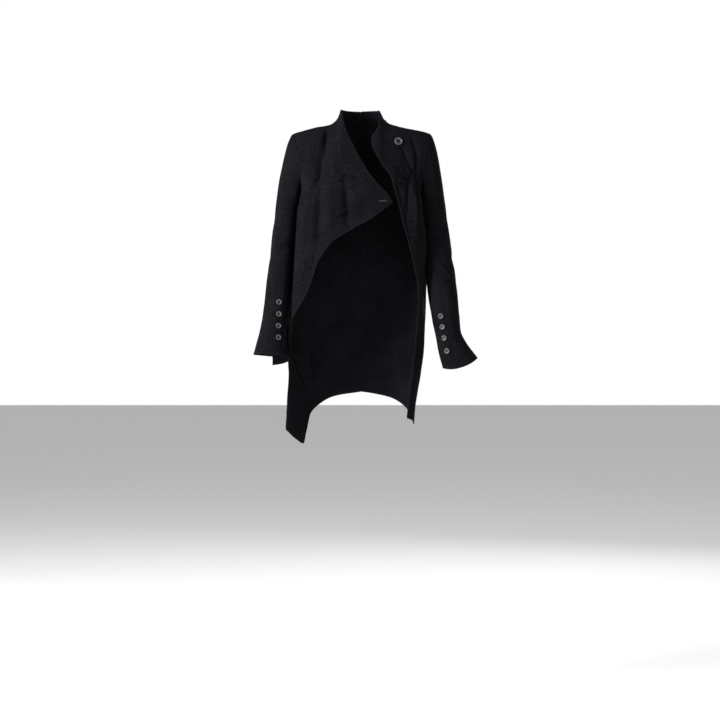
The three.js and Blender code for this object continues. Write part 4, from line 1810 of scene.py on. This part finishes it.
@dataclass(frozen=True)
class Spray:
    """A small raised spray of leaves and five-petalled flowers, worked in thread."""

    skin: Skin
    place: Array
    turn: float
    size: float = 1.0
    seed: int = 1
    stem: float = 78
    bow: float = 9
    leaf: tuple[float, float, float] = (13.5, 6.0, 2.4)
    petal: tuple[float, float, float] = (8.6, 5.6, 2.4)
    knot: float = 2.6
    leaves_on_stem: int = 7
    leaves_on_twig: int = 3
    # where each twig leaves the stem, its side and its length
    twigs: Rows = ((0.3, -1, 26), (0.55, 1, 24))
    twig_angle: float = 38
    twig_bend: float = 5
    twig_size: float = 0.8
    stem_lift: float = 0.25
    # a leaf's lean from its stem in degrees, and its share of the full size
    lean: Span = (38, 62)
    leaf_sizes: Span = (0.75, 1.1)
    # how far a blade's middle lies from its foot, in its own lengths
    leaf_out: float = 0.55
    petal_out: float = 0.62

    def _stalks(self) -> list[tuple[Array, float]]:
        """The main stem and two twigs in the cloth's plane.

        Returns:
            The points of each, and the size of its leaves.
        """
        s = np.linspace(0, 1, 30)[:, None]
        main = np.concatenate([self.stem * (s - 0.5), self.bow * np.sin(math.pi * s)], axis=1)
        stalks = [(main, 1.0)]
        for at, side, reach in self.twigs:
            way = heading(math.radians(self.twig_angle) * side)
            bend = np.array([-way[1], way[0]]) * side
            points = main[int(at * (len(main) - 1))] + way * s * reach - bend * self.twig_bend * s * s
            stalks.append((points, self.twig_size))
        return stalks

    def _flower(self, centre: Array, scale: float, start: float) -> list[Blade]:
        """Five petals round a knot.

        Args:
            centre: the flower's middle, in the cloth's plane.
            scale: its size.
            start: the first petal's direction, in radians.

        Returns:
            The centre, direction and size of each.
        """
        angles = [start + math.radians(72 * k) for k in range(5)]
        out, size = self.petal[0] * self.petal_out * scale, np.array(self.petal) * scale
        petals = [(centre + heading(angle) * out, angle, size) for angle in angles]
        knot = np.array([self.knot, self.knot, self.knot * 0.9]) * scale
        return [*petals, (centre, start, knot)]

    def layout(self) -> tuple[list[Array], list[Blade]]:
        """The whole spray in the cloth's plane, in millimetres.

        Returns:
            The stems, and the leaves and petals.
        """
        random = np.random.default_rng(self.seed)
        stalks, blades = [], []
        for points, scale in self._stalks():
            stalks.append(points)
            way = unit(np.gradient(points, axis=0))
            count = self.leaves_on_stem if scale == 1.0 else self.leaves_on_twig
            for k in range(count):
                at = int((k + 0.9) / (count + 0.9) * (len(points) - 1))
                side = 1 if k % 2 else -1
                lean = side * math.radians(random.uniform(*self.lean))
                angle = math.atan2(way[at, 1], way[at, 0]) + lean
                size = np.array(self.leaf) * scale * random.uniform(*self.leaf_sizes)
                blades.append((points[at] + heading(angle) * size[0] * self.leaf_out, angle, size))
            blades += self._flower(points[-1], 0.75 + 0.25 * scale, random.uniform(0, 1))
        return stalks, blades

    def place_all(self) -> tuple[list[Line], list[tuple[Array, ...]]]:
        """Lays the spray on the cloth.

        Returns:
            The stems as lines, and each blade's place, outward way, direction and size.
        """
        origin, up = self.skin.nearest(self.place)
        u, v = (way * self.size for way in turned_axes(up, self.turn))
        stalks, blades = self.layout()
        lines = [
            self.skin.line(np.array([origin + u * x + v * y for x, y in points]), self.stem_lift)
            for points in stalks
        ]
        made = []
        for (x, y), angle, size in blades:
            found, out = self.skin.nearest(origin + u * x + v * y)
            along = u * math.cos(angle) + v * math.sin(angle)
            made.append((found * MM, out, unit(along), size * self.size * MM))
        return lines, made


@dataclass(frozen=True)
class Embroidery:
    """All the sprays, as stems of round thread and padded satin leaves."""

    material: Material
    taper: float = 2.6
    stem_radius: float = 0.00045

    def leaves(self, blades: Sequence[tuple[Array, ...]]) -> Piece:
        """One pointed pad of thread for each blade.

        Args:
            blades: each one's place, outward way, direction and size.

        Returns:
            The pads, as one piece.
        """
        places, ups, ways, sizes = (np.array(column) for column in zip(*blades))
        mesh = bpy.data.meshes.new("leaves")
        mesh.from_pydata(places.tolist(), [], [])
        keep_vectors(mesh, up=ups, along=ways, size=sizes)
        graph, given = new_tree("satin_leaves", ["Taper"])
        ball = graph.out("GeometryNodeMeshIcoSphere", {"Radius": 0.5, "Subdivisions": 2})
        place = graph.out("GeometryNodeInputPosition")
        x = graph.out("ShaderNodeSeparateXYZ", {0: place})
        narrow = graph.math("MULTIPLY", graph.math("MULTIPLY", x, x), given.outputs["Taper"])
        narrow = graph.math("SUBTRACT", 1.0, narrow)
        scale = graph.out("ShaderNodeCombineXYZ", {"X": 1.0, "Y": narrow, "Z": 1.0})
        moved = graph.out("ShaderNodeVectorMath", {0: place, 1: scale}, operation="MULTIPLY")
        leaf = graph.out("GeometryNodeSetPosition", {"Geometry": ball, "Position": moved})
        turn = facing(graph, attribute(graph, "along"))
        size = attribute(graph, "size")
        placed = {"Points": given.outputs[0], "Instance": leaf, "Rotation": turn, "Scale": size}
        leaves = graph.out("GeometryNodeInstanceOnPoints", placed)
        tree = end_tree(graph, leaves, self.material)
        return from_nodes("spray_leaves", mesh, tree, {"Taper": self.taper})

    def work(self, sprays: Sequence[Spray]) -> list[Piece]:
        """Works all the sprays.

        Args:
            sprays: the sprays.

        Returns:
            The stems and the leaves.
        """
        lines, blades = [], []
        for spray in sprays:
            more_lines, more_blades = spray.place_all()
            lines += more_lines
            blades += more_blades
        stems = Strand(self.material, self.stem_radius).lay("spray_stems", lines)
        return [stems, self.leaves(blades)]


# ------------------------------------------------------------------ the buttons


@dataclass(frozen=True)
class Seat:
    """Where a button lies, read from its solid: its centre, its axis and its sizes in metres."""

    centre: Array
    axis: Array
    radius: float
    thickness: float

    @classmethod
    def of(cls, node: Piece) -> "Seat":
        """Reads a round solid's place and sizes.

        Args:
            node: the solid.

        Returns:
            The seat.
        """
        points = np.array([vertex.co for vertex in node.data.vertices])
        low, high = points.min(axis=0), points.max(axis=0)
        middle = (low + high) / 2
        _, _, axes = np.linalg.svd(points - points.mean(axis=0), full_matrices=False)
        axis = axes[2] if axes[2][1] < 0 else -axes[2]
        height = (points - middle) @ axis
        flat = (points - middle) - height[:, None] * axis
        middle = middle + axis * (height.max() + height.min()) / 2
        return cls(middle, axis, float(np.linalg.norm(flat, axis=1).max()), float(np.ptp(height)))

    def place(self, points: Array, twist: float) -> Array:
        """Carries points from a flat button at the origin to this seat.

        Args:
            points: the points, in metres.
            twist: how far the button is turned, in degrees.

        Returns:
            The points at the seat.
        """
        u, v = turned_axes(self.axis, twist)
        base = self.centre - self.axis * self.thickness / 2
        return base + points[:, :1] * u + points[:, 1:2] * v + points[:, 2:] * self.axis


@dataclass(frozen=True)
class ButtonShape:
    """A turned four-hole button: raised rim, dished face, soft edge and domed back.

    The profile's rows are shares of the radius and of the thickness.
    """

    hole: float
    hole_out: float
    segments: int = 56
    profile: Rows = (
        (0.5, 0.0), (0.78, 0.06), (0.93, 0.22), (0.99, 0.42), (1.0, 0.6), (0.975, 0.8),
        (0.92, 0.94), (0.85, 1.0), (0.78, 0.975), (0.72, 0.86), (0.66, 0.72), (0.58, 0.64),
        (0.45, 0.61), (0.25, 0.6),
    )
    face: float = 0.6
    # shares of the radius over which the painted shade of the dish fades out
    well: Span = (0.5, 0.72)
    hole_segments: int = 18
    crisp: float = 40
    # share of the way between two holes, and the thread's height over the face in metres
    stitch: Rows = ((0, -0.0002), (0.25, 0.0004), (0.5, 0.00055), (0.75, 0.0004), (1, -0.0002))
    ply_gap: float = 0.00028
    shank: float = -0.0012

    def solid(self, seat: Seat) -> Mesh:
        """The turned blank, before its holes are cut.

        Args:
            seat: where the button lies.

        Returns:
            A closed mesh at the origin.
        """
        mesh = bpy.data.meshes.new("button")
        build = bmesh.new()
        turns = np.linspace(0, 2 * math.pi, self.segments, endpoint=False)
        rings = []
        for share, height in self.profile:
            ring = [heading(turn) * seat.radius * share for turn in turns]
            rings.append([build.verts.new((x, y, seat.thickness * height)) for x, y in ring])
        for low, high in zip(rings, rings[1:]):
            for k in range(self.segments):
                after = (k + 1) % self.segments
                build.faces.new((low[k], low[after], high[after], high[k]))
        build.faces.new(list(reversed(rings[0])))
        build.faces.new(rings[-1])
        bmesh.ops.recalc_face_normals(build, faces=build.faces)
        build.to_mesh(mesh)
        build.free()
        return mesh

    def drill(self, seat: Seat) -> Mesh:
        """The four drills, as one mesh.

        Args:
            seat: where the button lies.

        Returns:
            A closed mesh at the origin.
        """
        mesh = bpy.data.meshes.new("drill")
        build = bmesh.new()
        radius = self.hole / 2 * MM
        for x, y in self.holes():
            made = bmesh.ops.create_cone(
                build, cap_ends=True, segments=self.hole_segments, radius1=radius,
                radius2=radius, depth=seat.thickness * 3,
            )
            bmesh.ops.translate(build, verts=made["verts"], vec=(x, y, seat.thickness / 2))
        build.to_mesh(mesh)
        build.free()
        return mesh

    def holes(self) -> list[Array]:
        """The holes' places in the flat button, in metres."""
        return [heading(turn) * self.hole_out * MM for turn in np.radians((45, 135, 225, 315))]

    def build(self, name: str, seat: Seat, twist: float, material: Material) -> Piece:
        """Makes the finished button at its seat.

        Args:
            name: the piece's name.
            seat: where it lies.
            twist: how far it is turned, in degrees.
            material: its finish.

        Returns:
            The button.
        """
        button, drill = link(name, self.solid(seat)), link("drill", self.drill(seat))
        cut = button.modifiers.new("holes", "BOOLEAN")
        cut.operation = "DIFFERENCE"
        cut.solver = "EXACT"
        cut.object = drill
        mesh = settle(button)
        bpy.data.objects.remove(drill)
        points = np.array([vertex.co for vertex in mesh.vertices])
        out = np.hypot(points[:, 0], points[:, 1]) / seat.radius
        # painted shade: 1 over the dish and the holes, fading to 0 towards the rim
        inner, outer = self.well
        painted_shade = 1 - smooth((out - inner) / (outer - inner))
        mesh.attributes.new("well", "FLOAT", "POINT").data.foreach_set("value", painted_shade)
        mesh.vertices.foreach_set("co", seat.place(points, twist).ravel())
        mesh.set_sharp_from_angle(angle=math.radians(self.crisp))
        mesh.materials.clear()
        mesh.materials.append(material)
        mesh.update()
        return button

    def thread(self, seat: Seat, twist: float) -> list[Line]:
        """Two pairs of threads over the face, and the shank of thread behind.

        Args:
            seat: where the button lies.
            twist: how far it is turned, in degrees.

        Returns:
            Two lines for each pair.
        """
        top = seat.thickness * self.face
        holes = self.holes()
        lines = []
        for near, far in ((holes[0], holes[3]), (holes[1], holes[2])):
            for shift in (-self.ply_gap, self.ply_gap):
                a, b = near + (shift, 0), far + (shift, 0)
                over = [(*mix(a, b, share), top + lift) for share, lift in self.stitch]
                rows = [(*a, self.shank), *over, (*b, self.shank)]
                points = seat.place(np.array(rows), twist)
                lines.append(Line(points, np.tile(seat.axis, (len(points), 1))))
        return lines


# ------------------------------------------------------------------ the studio


@dataclass(frozen=True)
class Lamp:
    """A soft square light that faces the jacket."""

    name: str
    place: tuple[float, float, float]
    size: float
    watts: float


@dataclass(frozen=True)
class Studio:
    """A plain pale floor, soft light and the camera."""

    finish: Material
    eye_height: float = -0.611
    distance: float = 4.5
    centre: float = -0.004
    frame_width: float = 1.872
    sensor: float = 36.0
    floor_height: float = -1.51
    floor_size: float = 60.0
    aim: tuple[float, float, float] = (0, 0, -0.4)
    daylight: float = 1.0
    ceiling: float = 0.25
    ceiling_from: Span = (0.2, 0.6)
    lamps: tuple[Lamp, ...] = (
        Lamp("key", (-3.2, -2.1, 0.6), 1.2, 290),
        Lamp("above", (-1.6, -1.2, 1.8), 0.9, 70),
        Lamp("low", (1.2, -2.4, -1.25), 1.2, 30),
        Lamp("behind", (1.4, 3.2, 0.8), 2.0, 30),
    )

    def camera(self) -> None:
        """Places the camera level with the hips, square on."""
        data = bpy.data.cameras.new("camera")
        data.sensor_width = self.sensor
        data.lens = self.sensor * self.distance / self.frame_width
        camera = link("camera", data)
        camera.location = (self.centre, -self.distance, self.eye_height)
        camera.rotation_euler = (math.radians(90), 0, 0)
        bpy.context.scene.camera = camera

    def light(self, lamp: Lamp) -> None:
        """Adds one lamp.

        Args:
            lamp: the lamp.
        """
        data = bpy.data.lights.new(lamp.name, "AREA")
        data.size = lamp.size
        data.energy = lamp.watts
        made = link(lamp.name, data)
        made.location = lamp.place
        way = Vector(self.aim) - Vector(lamp.place)
        made.rotation_euler = way.to_track_quat("-Z", "Y").to_euler()

    def floor(self) -> None:
        """Lays the floor."""
        half, z = self.floor_size / 2, self.floor_height
        mesh = bpy.data.meshes.new("floor")
        corners = [(-half, -half, z), (half, -half, z), (half, half, z), (-half, half, z)]
        mesh.from_pydata(corners, [], [(0, 1, 2, 3)])
        mesh.materials.append(self.finish)
        link("floor", mesh)

    def build(self) -> None:
        """Builds the whole studio."""
        self.camera()
        self.floor()
        for lamp in self.lamps:
            self.light(lamp)
        world = bpy.data.worlds.new("studio")
        world.use_nodes = True
        sky = world.node_tree.nodes["Background"]
        graph = Graph(world.node_tree)
        way = graph.add("ShaderNodeTexCoord").outputs["Generated"]
        height = graph.add("ShaderNodeSeparateXYZ", {0: way}).outputs["Z"]
        level = graph.spread(height, (self.daylight, self.ceiling), self.ceiling_from)
        graph.tree.links.new(level, sky.inputs["Strength"])
        sky.inputs["Color"].default_value = (1, 1, 1, 1)
        bpy.context.scene.world = world
        bpy.context.scene.view_settings.view_transform = "Standard"


# ------------------------------------------------------------------ putting it together

ROOT = "root"
CLOTH_SLOT = "cloth"
HORN_SLOT = "horn"
STITCH_INSET = 5.0
STITCH_LIFT = 0.12
SILK = ThreadFinish("silk", (0.0001, 0.0001, 0.0002), (0.0008, 0.0008, 0.0012), 0.06, 0.2)
PALE_THREAD = ThreadFinish("pale_thread", (0.03, 0.03, 0.032), (0.085, 0.085, 0.09), 0.1, 0.6)
LARGE_BUTTON = ButtonShape(hole=2.4, hole_out=3.3)
SMALL_BUTTON = ButtonShape(hole=1.7, hole_out=2.3)
# how far each button is turned, in degrees
TWISTS = (12, -20, 33, 4, -8, 25, -31, 16, 9)
# cloth, angle or phi, drop or along, the stem's turn, size, seed
SPRAYS = (
    ("front_right", -14, 149, -48, 1.0, 3), ("front_right", -38, 380, 62, 0.72, 5),
    ("front_left", 27, 138, -74, 0.78, 8), ("sleeve_left_top", 60, 196, 20, 0.72, 13),
    ("back_left", 146, 150, 118, 0.9, 21), ("back_right", -130, 330, 66, 0.8, 34),
    ("back_left", 128, 610, 84, 0.85, 55), ("sleeve_right_top", -24, 150, 80, 0.72, 89),
)


@dataclass
class Jacket:
    """The whole jacket: its cloths, its sewing and its buttons."""

    form: BodyForm
    cloth: Material
    thread: Material
    silk: Material
    pale_thread: Material
    horn: Material
    skins: dict[str, Skin] = field(default_factory=dict)
    sleeves: dict[str, SleeveForm] = field(default_factory=dict)

    def panels(self) -> None:
        """Builds every cloth, rides it on the jacket in place of its solid and logs its cut."""
        cloths = Bodice(self.form).cloths()
        cloths += [Collar(self.form).cloth(side) for side in Side]
        shapes = ((Side.RIGHT, RIGHT_RINGS, RIGHT_CREASES), (Side.LEFT, LEFT_RINGS, LEFT_CREASES))
        for side, rings, creases in shapes:
            form = SleeveForm(self.form, side, rings, creases=creases_of(creases))
            for under in (False, True):
                cloth = Sleeve(form).cloth(under)
                cloths.append(cloth)
                self.sleeves[cloth.name.removesuffix("_cloth")] = form
        for cloth in cloths:
            piece = cloth.build(self.cloth)
            node = cloth.name.removesuffix("_cloth")
            self.skins[node] = Skin(cloth)
            self.keep(piece, CLOTH_SLOT, node)
            size, area = cloth.cut()
            LOG.info("%s: cut %.3f x %.3f m, %.4f square metres", piece.name, *size, area)

    def keep(self, piece: Piece, slot: str, *nodes: str) -> None:
        """Rides a piece on the jacket, hides the solids that it stands for and logs its faces.

        Args:
            piece: the piece.
            slot: its material's slot; not used.
            nodes: the solids that it stands for.
        """
        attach(piece, ROOT)
        if nodes:
            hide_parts(*nodes)
        LOG.info("%s: %d faces", piece.name, len(piece.data.polygons))

    def sewing(self) -> None:
        """Stitches the free edges and works the buttonhole."""
        lines = []
        for skin in self.skins.values():
            lines += skin.inset_lines(STITCH_INSET, STITCH_LIFT)
        self.keep(Stitching(self.thread).sew("edge_stitching", lines), CLOTH_SLOT)
        hole = Buttonhole(self.form, self.skins["front_right"], self.pale_thread)
        self.keep(hole.sew(), CLOTH_SLOT)

    def sprays(self) -> None:
        """Works the flower sprays."""
        made = []
        for node, around, down, turn, size, seed in SPRAYS:
            at = np.array(float(around)), np.array(float(down))
            if node in self.sleeves:
                place = self.sleeves[node].surface(*at)
            else:
                place = self.form.surface(Panel(node), *at)
            made.append(Spray(self.skins[node], place, turn, size, seed))
        for piece in Embroidery(self.silk).work(made):
            self.keep(piece, CLOTH_SLOT)

    def buttons(self, nodes: dict[str, Piece]) -> None:
        """Makes every button and sews it on.

        Args:
            nodes: the solids, by their names.
        """
        lines = []
        names = sorted(name for name in nodes if name.startswith("button"))
        for name, twist in zip(names, TWISTS):
            seat = Seat.of(nodes[name])
            large = name == "button_neck"
            shape = LARGE_BUTTON if large else SMALL_BUTTON
            self.keep(shape.build(f"{name}_turned", seat, twist, self.horn), HORN_SLOT, name)
            lines += shape.thread(seat, twist)
        sewn = Strand(self.thread, radius=0.00042, step=0.0006).lay("button_thread", lines)
        self.keep(sewn, CLOTH_SLOT)

    def build(self, nodes: dict[str, Piece]) -> None:
        """Builds everything in order.

        Args:
            nodes: the solids, by their names.
        """
        self.panels()
        self.sewing()
        self.sprays()
        self.buttons(nodes)


def main() -> None:
    """Builds the jacket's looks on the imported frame."""
    logging.basicConfig(level=logging.INFO, format="%(message)s")
    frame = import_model()
    Studio(FloorFinish().material()).build()
    jacket = Jacket(
        BodyForm(), ClothFinish().material(), ThreadFinish().material(), SILK.material(),
        PALE_THREAD.material(), HornFinish().material(),
    )
    jacket.build(frame["nodes"])
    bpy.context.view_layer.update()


if __name__ == "__main__":
    main()
